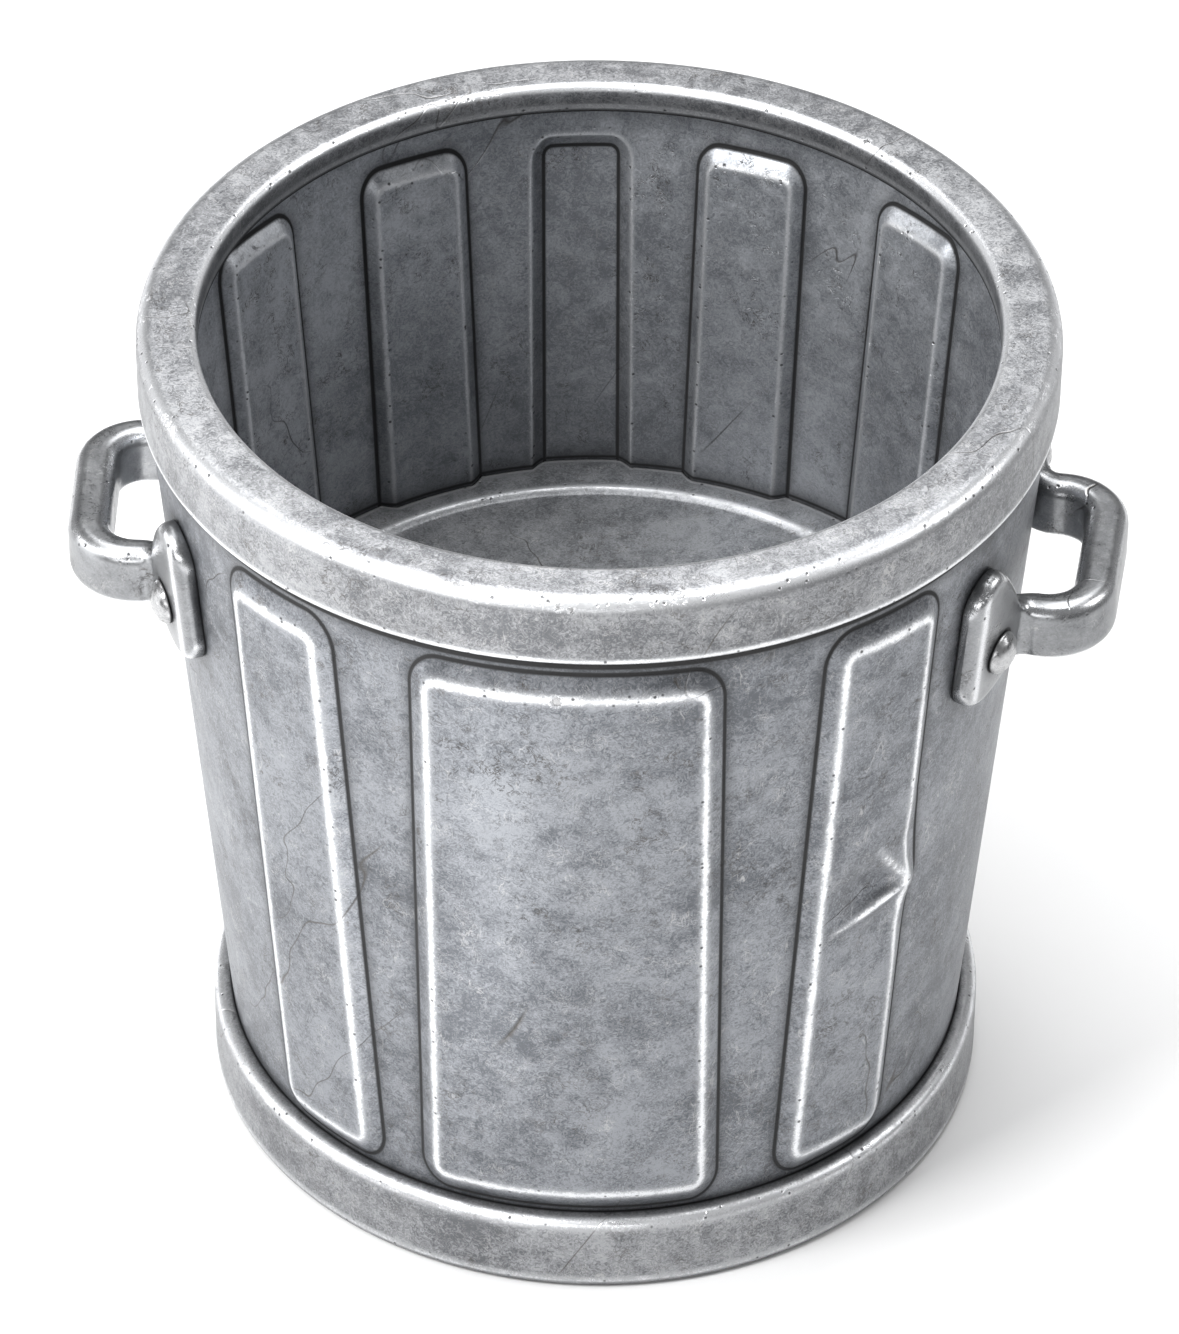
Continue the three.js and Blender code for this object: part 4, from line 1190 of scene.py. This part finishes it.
# The wall's seam, then a painted shadow line along the lip's foot and painted shade over the lip's face.
rim_seams_and_shade = [
    (WALL_TOP_RADIUS, HEM_LEVEL, 1.0),
    (MOUTH_RADIUS, CAN_HEIGHT - RIM_LIP_HEIGHT - 0.4 * MM, 0.55),
    (MOUTH_RADIUS - 2.4 * MM, CAN_HEIGHT - RIM_ROUND - 1 * MM, 0.75),
]
rim_section = section_object("rim_section", rim_outline(), rim_edges(), rim_seams_and_shade)
rim = swept(rim_section, "rim", RIM_RADIUS - RIM_WIDTH / 2, segments=640, waviness=0.35 * MM, seed=3.0)
report_mesh(rim)
dress(rim, "galvanized_hoop", "rim_hoop")

# %% [markdown]
# ### The base hoop
#
# The same kind of strip, rolled round the foot: its top is turned in to the wall, its foot
# is turned under, and a lip inside holds the bottom pan's flange.

# %% The base hoop
PAN_EDGE = float(wall_radius(WALL_BOTTOM)) - SHEET - GAP


def base_outline():
    """Closed section of the base hoop as radius and height."""
    top_centre = (BASE_RADIUS - BASE_TOP_ROUND, BASE_HEIGHT - BASE_TOP_ROUND)
    foot_centre = (BASE_RADIUS - BASE_FOOT_ROUND, BASE_FOOT_ROUND)
    lip_outer = PAN_EDGE - SHEET - 2 * GAP
    seam = float(wall_radius(BASE_HEIGHT)) + GAP
    return [
        (lip_outer - HOOP_SHEET, 0),
        *arc(foot_centre, BASE_FOOT_ROUND, -90, 0, 8),
        *arc(top_centre, BASE_TOP_ROUND, 0, 90, 12),
        (seam, BASE_HEIGHT),
        (seam, BASE_HEIGHT - HOOP_SHEET),
        *arc(top_centre, BASE_TOP_ROUND - HOOP_SHEET, 90, 0, 5),
        *arc(foot_centre, BASE_FOOT_ROUND - HOOP_SHEET, 0, -90, 5),
        (lip_outer, HOOP_SHEET),
        (lip_outer, BASE_LIP_HEIGHT),
        (lip_outer - HOOP_SHEET, BASE_LIP_HEIGHT),
    ]


base_crest = BASE_TOP_ROUND * (1 - DIAGONAL)
base_edges = [
    (BASE_RADIUS - base_crest, BASE_HEIGHT - base_crest, 0.75),
    (BASE_RADIUS, BASE_FOOT_ROUND + 1 * MM, 1.5),
]
# The wall's seam, then painted shade over the foot round, which faces down.
base_seams_and_shade = [
    (float(wall_radius(BASE_HEIGHT)), BASE_HEIGHT, 1.0),
    (BASE_RADIUS - 1 * MM, -1.5 * MM, 0.75),
]
base_section = section_object("base_section", base_outline(), base_edges, base_seams_and_shade)
base = swept(base_section, "base_band", BASE_RADIUS, segments=560, waviness=0.3 * MM, seed=11.0)
report_mesh(base)
dress(base, "galvanized_hoop", "base_hoop")

# %% [markdown]
# ### The bottom pan and the inner floor
#
# The bottom pan is a shallow dish pressed upside down. The floor above it is a tray wedged
# in the taper. Its rim is beaten to follow the wall's panels, so it can't be a plain sweep:
# its outer rings take their radius from the wall, and the rings further in are round.

# %% Closed pieces of revolution


def ring_rows(outline, columns):
    """Rows of points round the can for a section that starts and ends on the axis."""
    azimuth = np.linspace(0, 2 * math.pi, columns, endpoint=False)
    return np.stack([around(azimuth, max(radius, 0), z) for radius, z in outline])


def capped_faces(rows, columns):
    """Faces of rings between two poles: the first and last ring are single points."""
    first, last = 0, 1 + (rows - 2) * columns
    faces = [(first, 1 + (c + 1) % columns, 1 + c) for c in range(columns)]
    for row in range(rows - 3):
        start = 1 + row * columns
        for c in range(columns):
            n = (c + 1) % columns
            faces.append((start + c, start + n, start + columns + n, start + columns + c))
    start = 1 + (rows - 3) * columns
    faces += [(start + c, start + (c + 1) % columns, last) for c in range(columns)]
    return faces


def dished(name, rows, distances):
    """A closed piece of revolution from rows of points whose first and last lie on the axis."""
    count, columns = rows.shape[:2]
    points = np.concatenate([rows[0][:1], rows[1:-1].reshape(-1, 3), rows[-1][:1]])
    flat = {key: np.concatenate([v[0][:1], v[1:-1].ravel(), v[-1][:1]]) for key, v in distances.items()}
    return piece_from(name, points, capped_faces(count, columns), flat)


print("a closed piece of 5 rings and 8 columns has", len(capped_faces(5, 8)), "faces")

# %% The bottom pan
PAN_COLUMNS = 180
PAN_FLAT = 20 * MM                      # from the step to a ring of points on the level sheet
PAN_SEAM_TOP = 12 * MM                  # up to here the flange counts as seam
PAN_RING = PAN_EDGE - PAN_STEP_INSET


def pan_outline():
    """Section of the pan from the axis below to the axis above."""
    top = PAN_RAISE_HEIGHT + SHEET
    centre = (PAN_EDGE - PAN_ROUND, top - PAN_ROUND)
    foot = PAN_RING + PAN_STEP_HEIGHT
    return [
        (0, PAN_RAISE_HEIGHT + PAN_STEP_HEIGHT),
        (PAN_RING / 2, PAN_RAISE_HEIGHT + PAN_STEP_HEIGHT),
        (PAN_RING - SHEET, PAN_RAISE_HEIGHT + PAN_STEP_HEIGHT),
        (foot - SHEET, PAN_RAISE_HEIGHT),
        (foot + PAN_FLAT, PAN_RAISE_HEIGHT),
        *arc(centre, PAN_ROUND - SHEET, 90, 0, 6),
        (PAN_EDGE - SHEET, WALL_BOTTOM),
        (PAN_EDGE, WALL_BOTTOM),
        *arc(centre, PAN_ROUND, 0, 90, 6),
        (foot + PAN_FLAT, top),
        (foot, top),
        (PAN_RING, top + PAN_STEP_HEIGHT),
        (PAN_RING / 2, top + PAN_STEP_HEIGHT),
        (0, top + PAN_STEP_HEIGHT),
    ]


def make_pan():
    """The bottom pan."""
    outline = pan_outline()
    edge = [min(abs(radius - PAN_RING), abs(radius - PAN_RING - PAN_STEP_HEIGHT)) for radius, _ in outline]
    touch = [abs(radius - PAN_EDGE) + max(z - PAN_SEAM_TOP, 0) for radius, z in outline]
    distances = {
        key: np.array(values)[:, None] * np.ones((1, PAN_COLUMNS))
        for key, values in (("edge", edge), ("touch", touch))
    }
    return dished("foot_pan", ring_rows(outline, PAN_COLUMNS), distances)


pan = make_pan()
pan.data.materials.append(floor_zinc)
report_mesh(pan)
dress(pan, "galvanized_floor", "bottom_pan")

# %% The inner floor's section
FLOOR_LOW = FLOOR_LEVEL - FLOOR_STEP
STEP_RADIUS = float(wall_radius(FLOOR_LEVEL)) - SHEET - FLOOR_STEP_INSET
STEP_WIDTH = 5 * MM
DISH_RADII = (0.18, 0.16, 0.13, 0.10, 0.07, 0.04, 0.015, 0)


def floor_section():
    """Rows of the floor: a radius or, without one, a distance out from the wall, and a height."""
    seat, under = -SHEET - GAP, FLOOR_LOW - SHEET
    bottom = [
        (0, 0, under),
        (0.1, 0, under),
        (STEP_RADIUS - FLOOR_STEP - SHEET / 2, 0, under),
        (STEP_RADIUS - SHEET / 2, 0, FLOOR_LEVEL - SHEET),
    ]
    flange = [
        (None, seat - FLOOR_ROUND, FLOOR_LEVEL - SHEET),
        (None, seat - SHEET, FLOOR_LEVEL - FLOOR_ROUND),
        (None, seat - SHEET, FLOOR_FOOT),
        (None, seat, FLOOR_FOOT),
    ]
    centre = (seat - FLOOR_ROUND, FLOOR_LEVEL - FLOOR_ROUND)
    edge = [(None, offset, z) for offset, z in arc(centre, FLOOR_ROUND, 0, 90, 8)]
    brim = [(None, seat - FLOOR_ROUND - inset * MM, FLOOR_LEVEL) for inset in (2, 5)]
    slope = [(STEP_RADIUS + 5 * MM, 0, FLOOR_LEVEL), (STEP_RADIUS + 1.5 * MM, 0, FLOOR_LEVEL)]
    for share in np.linspace(0, 1, 9):
        drop = FLOOR_STEP * smooth_step(share, 0, 1)
        slope.append((STEP_RADIUS - STEP_WIDTH * share, 0, FLOOR_LEVEL - drop))
    dish = [(radius, 0, FLOOR_LOW) for radius in (STEP_RADIUS - 7 * MM, *DISH_RADII)]
    return bottom + flange + edge + brim + slope + dish


print(len(floor_section()), "rings in the floor, its middle set down at", round(STEP_RADIUS, 4), "m")

# %% The inner floor
FLOOR_GIVE = 1.15                       # how much further than the wall the flange is pushed
FLOOR_HIGHLIGHT_INSET = 5 * MM               # from the wall's outside to the rubbed line with its painted highlight


def pushed_floor(azimuth, inside):
    """How far in the dent has pushed the floor's flange: the deepest place along its height."""
    across = (azimuth - math.radians(DENTED["azimuth"])) * wall_radius(FLOOR_LEVEL)
    heights = [dent_height(across, z) for z in np.linspace(FLOOR_FOOT, FLOOR_LEVEL, 7)]
    deepest = np.minimum(np.min(heights, axis=0), 0) * FLOOR_GIVE
    return np.where((np.abs(across) < DENT_HALF_WIDTH) & (inside > 0), deepest, 0)


def make_floor():
    """The inner floor, its edge following the wall's panels."""
    azimuth = wall_azimuths([FLOOR_LEVEL])[0]
    inside, relief, bevel = panel_distances(azimuth, np.full_like(azimuth, FLOOR_LEVEL))
    pressed = pressed_height(inside, relief, bevel) + pushed_floor(azimuth, inside)
    rubbed_highlight_line = float(wall_radius(FLOOR_LEVEL)) + pressed - FLOOR_HIGHLIGHT_INSET
    rows, edge, touch = [], [], []
    for radius, offset, z in floor_section():
        reach = wall_radius(z) + pressed + offset if radius is None else np.full_like(azimuth, radius)
        rows.append(around(azimuth, reach, z))
        # Rubbed lines with painted highlights at the edge and the step; a dark seam at the wall with painted
        # shade beside it.
        edge.append(np.minimum(abs(reach - rubbed_highlight_line) * 1.5, abs(reach - STEP_RADIUS) * 1.2))
        touch.append(np.maximum(float(wall_radius(z)) + pressed - SHEET - reach, 0))
    return dished("floor_tray", np.stack(rows), {"edge": np.stack(edge), "touch": np.stack(touch)})


floor_tray = make_floor()
floor_tray.data.materials.append(floor_zinc)
report_mesh(floor_tray)
dress(floor_tray, "galvanized_floor", "inner_floor")

# %% [markdown]
# ## The handles
#
# Each handle is forged from one bar: a grip, two round corners, two legs, and two lugs that
# flatten out along the wall and widen to an ear. It could be a swept curve, but the section
# changes all the way, from a fat rounded bar to a thin broad plate that leans with the
# taper. So the handle is lofted: stations along its line, each with its own section, are
# joined ring to ring.

# %% Stations along a handle
STOP_SHORT = 0.0006                     # radians from the last station to the lug's end


def handle_stations():
    """Stations of half a handle: place, facing and how far it has become a lug."""
    stations = []

    def add(x, y, facing, thickness, lug=0.0, past=-1.0):
        place = {"x": x, "y": y, "facing": facing}
        stations.append({**place, "thickness": thickness, "lug": lug, "past": past})

    for share in np.linspace(0, 1, 8)[:-1]:
        add(GRIP_LINE, (LEG_LINE - CORNER_RADIUS) * share, 0.0, GRIP_THICKNESS)
    for share in np.linspace(0, 1, 19):
        facing = share * math.pi / 2
        x = GRIP_LINE - CORNER_RADIUS + CORNER_RADIUS * math.cos(facing)
        y = LEG_LINE - CORNER_RADIUS + CORNER_RADIUS * math.sin(facing)
        add(x, y, facing, GRIP_THICKNESS + (LEG_THICKNESS - GRIP_THICKNESS) * share)
    turn = math.pi / 2 - BEND_END
    for share in np.linspace(0, 1, 19):
        facing = math.pi / 2 - turn * share
        x = BEND_X - LUG_BEND_RADIUS * math.cos(facing)
        y = BEND_Y - LUG_BEND_RADIUS * math.sin(facing)
        lug = float(smooth_step(share, 0, 1))
        add(x, y, facing, LEG_THICKNESS + (LUG_THICKNESS - LEG_THICKNESS) * lug, lug)
    straight = np.linspace(BEND_END, STRAIGHT_END, 20)[1:]
    rounded = STRAIGHT_END + (LUG_END_ANGLE - STRAIGHT_END) * np.sin(np.linspace(0, math.pi / 2, 12))[1:-1]
    for angle in [*straight, *rounded, LUG_END_ANGLE - STOP_SHORT]:
        past = (angle - STRAIGHT_END) * LUG_LINE
        add(LUG_LINE * math.cos(angle), LUG_LINE * math.sin(angle), angle, LUG_THICKNESS, 1.0, past)
    return stations


print(len(handle_stations()), "stations in half a handle")

# %% Sections of a handle
CORNER_STEPS = 6
SIDE_STEPS = (20, 4, 8, 4)              # parts of the outer, upper, inner and lower side
BACK_SIDE = 20 * MM                     # added to edge distances on a lug's back, which isn't rubbed


def handle_section(station):
    """Outline of a station's section as out and up, with the distance to its corners."""
    flare_angle = math.atan2(station["y"], station["x"])
    low, high = (float(value) for value in lug_edges(np.float64(flare_angle)))
    if station["lug"] == 0 and station["facing"] < math.pi / 2 - 1e-6:
        low, high = GRIP_LEVEL - GRIP_HEIGHT / 2, GRIP_LEVEL + GRIP_HEIGHT / 2
    past = station["past"]
    thin = float(round_drop(past - LUG_ROUND + LUG_EDGE_ROUND, LUG_EDGE_ROUND)) * station["lug"]
    inside, outside = -station["thickness"] / 2, station["thickness"] / 2 - thin
    full = BAR_EDGE_ROUND + (LUG_EDGE_ROUND - BAR_EDGE_ROUND) * station["lug"]
    outer_round = min(full * (outside - inside) / station["thickness"], (high - low) / 2.01)
    inner_round = BAR_EDGE_ROUND + (LUG_BACK_ROUND - BAR_EDGE_ROUND) * station["lug"]
    inner_round = min(inner_round, (outside - inside) / 4) if station["lug"] == 1 else inner_round
    corners = [
        ((outside - outer_round, low + outer_round), outer_round, -90),
        ((outside - outer_round, high - outer_round), outer_round, 0),
        ((inside + inner_round, high - inner_round), inner_round, 90),
        ((inside + inner_round, low + inner_round), inner_round, 180),
    ]
    points, middles = [], []
    rounds = [arc(centre, radius, start, start + 90, CORNER_STEPS) for centre, radius, start in corners]
    for index, corner in enumerate(rounds):
        middles.append(corner[CORNER_STEPS // 2])
        following = rounds[(index + 1) % len(rounds)][0]
        points += corner + between(corner[-1], following, SIDE_STEPS[index])[1:]
    points = np.array(points)
    reach = [np.hypot(points[:, 0] - m[0], points[:, 1] - m[1]) for m in middles]
    edge = np.minimum(reach[0], reach[1])
    if station["lug"] < 1:
        edge = np.minimum(edge, np.minimum(reach[2], reach[3]) + BACK_SIDE * station["lug"])
    return points, edge, inside


print(len(handle_section(handle_stations()[0])[0]), "points round the grip")

# %% The two handles


def placed_section(station):
    """Points of a station's section in the handle's own frame, with two distances."""
    upright = {**station, "y": abs(station["y"]), "facing": abs(station["facing"])}
    outline, edge, inside = handle_section(upright)
    out, up = outline.T
    reach = out + WALL_SLOPE * (up - GRIP_LEVEL) * station["lug"]
    x = station["x"] + reach * math.cos(station["facing"])
    y = station["y"] + reach * math.sin(station["facing"])
    angle = np.degrees(np.arctan2(np.abs(y), x))
    from_rivet = np.hypot((angle - RIVET_ANGLE) * math.radians(LUG_LINE), up - RIVET_LEVEL)
    not_lug = 1 - station["lug"]
    # Dark seams round the rivet and along the wall, with painted shade beside them on the lug.
    rivet_gap = np.where(out > 0, np.maximum(from_rivet - HEAD_RADIUS, 0) + not_lug, 1.0)
    end_line = abs(station["past"] - (LUG_ROUND - LUG_EDGE_ROUND)) if station["lug"] == 1 else 1.0
    edge = np.minimum(edge, end_line + np.where(out > 0, 0, BACK_SIDE))
    return np.stack([x, y, up], -1), edge, np.minimum(out - inside + not_lug * 0.1, rivet_gap)


def make_handle(name, side):
    """One handle, on the left (-1) or the right (+1)."""
    half = handle_stations()
    mirrored = [{**s, "y": -s["y"], "facing": -s["facing"]} for s in reversed(half[1:])]
    points, edges, touches = zip(*(placed_section(station) for station in mirrored + half))
    turn = Matrix.Rotation(math.radians(side * HANDLE_AZIMUTH - 90), 3, "Z")
    points = np.array(points) @ np.array(turn).T
    rows, columns = points.shape[:2]
    faces = [face[::-1] for face in grid_faces(rows, columns, False)]
    faces.append(tuple(range(columns)))
    faces.append(tuple((rows - 1) * columns + c for c in reversed(range(columns))))
    distances = {"edge": np.array(edges).ravel(), "touch": np.array(touches).ravel()}
    return piece_from(name, points.reshape(-1, 3), faces, distances)


for name, side, node in (("left_handle", -1, "handle_left"), ("right_handle", 1, "handle_right")):
    handle = make_handle(name, side)
    handle.data.materials.append(bar_zinc)
    report_mesh(handle)
    dress(handle, "galvanized_bar", node)

# %% [markdown]
# ## The rivets
#
# A rivet is a pin with a dome at one end, pushed through lug and wall and hammered over
# behind. The four are alike, so a Geometry Nodes tree makes one and sets it on four points
# that face out of the wall. The tree starts from a ball: its rings, counted from the top,
# are moved to the dome, the dome's flat underside, the shank and the hammered tail. A
# little noise with a fixed seed leaves no two quite alike.

# %% A rivet's profile and its turn
RIVET_RINGS = 36
DOME_RING, SHANK_RING = 18, 24          # last ring of the dome, and of the shank


def rivet_profile(ring, wires):
    """Radius and height of the ball's rings, counted from the top of the head."""
    head = ring.under(DOME_RING + 0.5)
    tail = ring.over(SHANK_RING + 0.5)
    shank = 1 - head - tail
    head_angle = ring * (math.pi / 2 / DOME_RING)
    tail_angle = (RIVET_RINGS - ring) * (math.pi / 2 / (RIVET_RINGS - SHANK_RING - 1))
    along = (ring - (DOME_RING + 1)) / (SHANK_RING - DOME_RING - 1)
    radius = (
        head * wires["Head radius"] * head_angle.sine()
        + shank * wires["Shank radius"]
        + tail * wires["Tail radius"] * tail_angle.sine()
    )
    height = (
        head * wires["Head height"] * head_angle.cosine()
        - shank * along * wires["Grip"]
        - tail * (wires["Grip"] + wires["Tail height"] * tail_angle.cosine())
    )
    return radius, height


def facing_turn(tree, seed):
    """A turn that faces the way that the point does, with a random spin by the seed."""
    stored = {"data_type": "FLOAT_VECTOR"}
    facing = tree.node("GeometryNodeInputNamedAttribute", stored, {"Name": "facing"}, "Attribute")
    turned = tree.node("FunctionNodeAlignRotationToVector", {"axis": "Z"}, {"Vector": facing})
    span = {"Min": 0.0, "Max": math.tau, "Seed": seed}
    angle = tree.node("FunctionNodeRandomValue", {"data_type": "FLOAT"}, span, "Value")
    spin = tree.node("ShaderNodeCombineXYZ", None, {"Z": angle})
    return tree.node("FunctionNodeRotateRotation", {"rotation_space": "LOCAL"}, {0: turned, 1: spin})


print(f"of a rivet's {RIVET_RINGS} rings, {DOME_RING} make the dome")

# %% A tree that rivets points
NEAR_AXIS = 1e-5                        # smallest radius that is divided by


def rivet_tree():
    """Points that carry a facing in, rivets out."""
    tree, wires, identifiers = new_group("rivets_on_points", {
        "Head radius": "Float", "Head height": "Float", "Shank radius": "Float", "Grip": "Float",
        "Tail radius": "Float", "Tail height": "Float", "Unevenness": "Float",
        "Seed": "Int", "Finish": "Material",
    })
    sockets = {"Segments": 40, "Rings": RIVET_RINGS, "Radius": 1.0}
    ball = tree.node("GeometryNodeMeshUVSphere", None, sockets, "Mesh")
    here = tree.node("GeometryNodeInputPosition")
    split = tree.node("ShaderNodeSeparateXYZ", None, {0: here})
    x, y, z = (Wire(tree, split.socket.node.outputs[axis]) for axis in range(3))
    radius, height = rivet_profile(z.arc_cosine() * (RIVET_RINGS / math.pi), wires)
    scale = radius / (x * x + y * y).root().larger(NEAR_AXIS)
    sockets = {"X": x * scale, "Y": y * scale, "Z": height}
    position = tree.node("ShaderNodeCombineXYZ", None, sockets)
    shaped = tree.node("GeometryNodeSetPosition", None, {"Geometry": ball, "Position": position})
    settings = {"data_type": "FLOAT", "domain": "POINT"}
    sockets = {"Geometry": shaped, "Name": "touch", "Value": abs(z) / MM}
    rivet = tree.node("GeometryNodeStoreNamedAttribute", settings, sockets)
    turn = facing_turn(tree, wires["Seed"])
    sockets = {"Points": wires["Geometry"], "Instance": rivet, "Rotation": turn}
    copies = tree.node("GeometryNodeInstanceOnPoints", None, sockets)
    real = tree.node("GeometryNodeRealizeInstances", None, {0: copies})
    bruises = tree.node("ShaderNodeTexNoise", None, {"Scale": 160.0, "Detail": 1.0})
    moved = moved_along_normals(tree, real, (bruises - 0.5) * wires["Unevenness"])
    close_group(tree, moved, wires["Finish"])
    return tree, identifiers


riveting, rivet_inputs = rivet_tree()
print("rivet tree's inputs:", list(rivet_inputs))

# %% The four rivets
RIVET_SEAT_ANGLE = math.radians(2.3)
SEAT_HEIGHT = LUG_THICKNESS + 2 * GAP


def rivet_points():
    """A mesh of four points on the lugs, each with the direction that it faces."""
    lean = math.atan(WALL_SLOPE)
    places, facings = [], []
    for handle_side in (-1, 1):
        for rivet_side in (-1, 1):
            azimuth = math.radians(handle_side * HANDLE_AZIMUTH + rivet_side * RIVET_ANGLE)
            level = math.cos(lean)
            facing = Vector((math.sin(azimuth) * level, -math.cos(azimuth) * level, -math.sin(lean)))
            radius = float(wall_radius(RIVET_LEVEL)) * math.cos(RIVET_SEAT_ANGLE)
            foot = Vector((radius * math.sin(azimuth), -radius * math.cos(azimuth), RIVET_LEVEL))
            places.append(foot + facing * SEAT_HEIGHT)
            facings.append(facing)
    mesh = bpy.data.meshes.new("rivet_points")
    mesh.from_pydata(places, [], [])
    values = [component for facing in facings for component in facing]
    mesh.attributes.new("facing", "FLOAT_VECTOR", "POINT").data.foreach_set("vector", values)
    return placed("rivet_points", mesh)


rivets = grown(rivet_points(), "rivets", riveting, rivet_inputs, {
    "Head radius": HEAD_RADIUS, "Head height": HEAD_HEIGHT, "Shank radius": SHANK_RADIUS,
    "Grip": SEAT_HEIGHT + SHEET + GAP, "Tail radius": TAIL_RADIUS, "Tail height": TAIL_HEIGHT,
    "Unevenness": 1.6 * MM, "Seed": 5, "Finish": rivet_zinc,
})
for key in ("edge", "fold"):
    store_distance(rivets.data, key, np.full(len(rivets.data.vertices), 1.0))
report_mesh(rivets)
dress(
    rivets, "rivet_steel",
    "handle_left_rivet_front", "handle_left_rivet_back",
    "handle_right_rivet_front", "handle_right_rivet_back",
)

# %% [markdown]
# ## The wire
#
# The wall's top edge is curled round a wire, out of sight inside the rim hoop. The CAD
# node's shape is right as it is, so it only gets a finish: plain drawn steel, darker than
# zinc, with streaks along the draw.

# %% The wire's finish
WIRE_DARK, WIRE_LIGHT = (0.08, 0.08, 0.08, 1), (0.22, 0.22, 0.22, 1)


def drawn_wire():
    """Dull drawn steel with faint streaks."""
    material, tree, place = new_tree("drawn_wire")
    streaks = noise(tree, stretched(tree, place, (1, 1, 20)), 60.0, 3.0) - 0.5
    colour = tint(tree, (streaks * 3 + 0.5).clamped(), WIRE_DARK, WIRE_LIGHT)
    close_tree(tree, {"Base Color": colour, "Roughness": 0.45 + streaks * 0.4, "Metallic": 0.9})
    return material


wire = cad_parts["rim_wire"]
wire.data.materials.clear()
wire.data.materials.append(drawn_wire())
print("the wire keeps its CAD shape:", wire.name)

# %% [markdown]
# ## Floor and light
#
# The photograph shows the can alone on white. A broad pale floor, lit until it is white in
# the picture, gives that, and it throws soft light up the wall. A large soft light
# overhead draws the bright lines along the rim's rounds and the tops of the panels. A
# smaller, stronger one from the front left lights the far side of the inside. Weak ones
# from the front, left and right fill the bevels, and a low strip on the ground, out of the
# picture's sight, gives the wide panel its vertical sheen.

# %% The floor under the can
FLOOR_HALF_WIDTH = 14.0
PLANE_LEVEL = -0.3 * MM                 # clear of the base hoop, which wanders by as much


def make_floor_plane():
    """A wide pale floor, just under the can."""
    mesh = bpy.data.meshes.new("studio_floor")
    signs = ((-1, -1), (1, -1), (1, 1), (-1, 1))
    corners = [(x * FLOOR_HALF_WIDTH, y * FLOOR_HALF_WIDTH, PLANE_LEVEL) for x, y in signs]
    mesh.from_pydata(corners, [], [(0, 1, 2, 3)])
    plane = placed("studio_floor", mesh)
    material = bpy.data.materials.new("pale_floor")
    material.use_nodes = True
    shader = material.node_tree.nodes["Principled BSDF"]
    shader.inputs["Base Color"].default_value = (0.85, 0.85, 0.85, 1)
    shader.inputs["Roughness"].default_value = 0.9
    mesh.materials.append(material)
    return plane


print("studio floor:", tuple(round(size, 1) for size in make_floor_plane().dimensions))

# %% The lights
LIGHTS = {                              # place, aim, size in metres and power in watts
    "overhead": ((0, 0.68, 2.6), (0, 0.35, 0), (2.2, 2.2), 89),
    "key": ((-1.25, -1.1, 2.1), (0, 0, 0.4), (0.9, 0.9), 58),
    "front": ((-0.4, -2.45, 1.05), (0, 0, 0.3), (2.0, 0.7), 14.5),
    "left": ((-1.5, -0.35, 0.62), (0, 0, 0.3), (1.1, 1.2), 8),
    "right": ((1.9, 0.1, 1.75), (0, 0, 0.45), (0.9, 0.9), 10),
    "strip": ((-0.2, -0.62, 0.012), (-0.2, -0.62, 1), (0.10, 0.6), 0.42),
}
STRIP_TURN = math.radians(-18)


def soft_light(name, place, aim, size, power):
    """A rectangular soft light that stands at a place and faces another."""
    data = bpy.data.lights.new(name, "AREA")
    data.shape = "RECTANGLE"
    data.size, data.size_y = size
    data.energy = power
    light = placed(name, data)
    light.location = place
    light.rotation_euler = (Vector(aim) - Vector(place)).to_track_quat("-Z", "Y").to_euler()
    return light


studio = {name: soft_light(name, *values) for name, values in LIGHTS.items()}
studio["strip"].rotation_euler = (math.pi, 0, STRIP_TURN)
print("lights:", list(studio))

# %% The dim surroundings
world = bpy.data.worlds.new("studio")
world.use_nodes = True
background = world.node_tree.nodes["Background"]
background.inputs["Color"].default_value = (0.97, 0.98, 1.0, 1)
background.inputs["Strength"].default_value = 0.18
bpy.context.scene.world = world
bpy.context.scene.view_settings.view_transform = "Standard"
print("surroundings:", background.inputs["Strength"].default_value)

# %% [markdown]
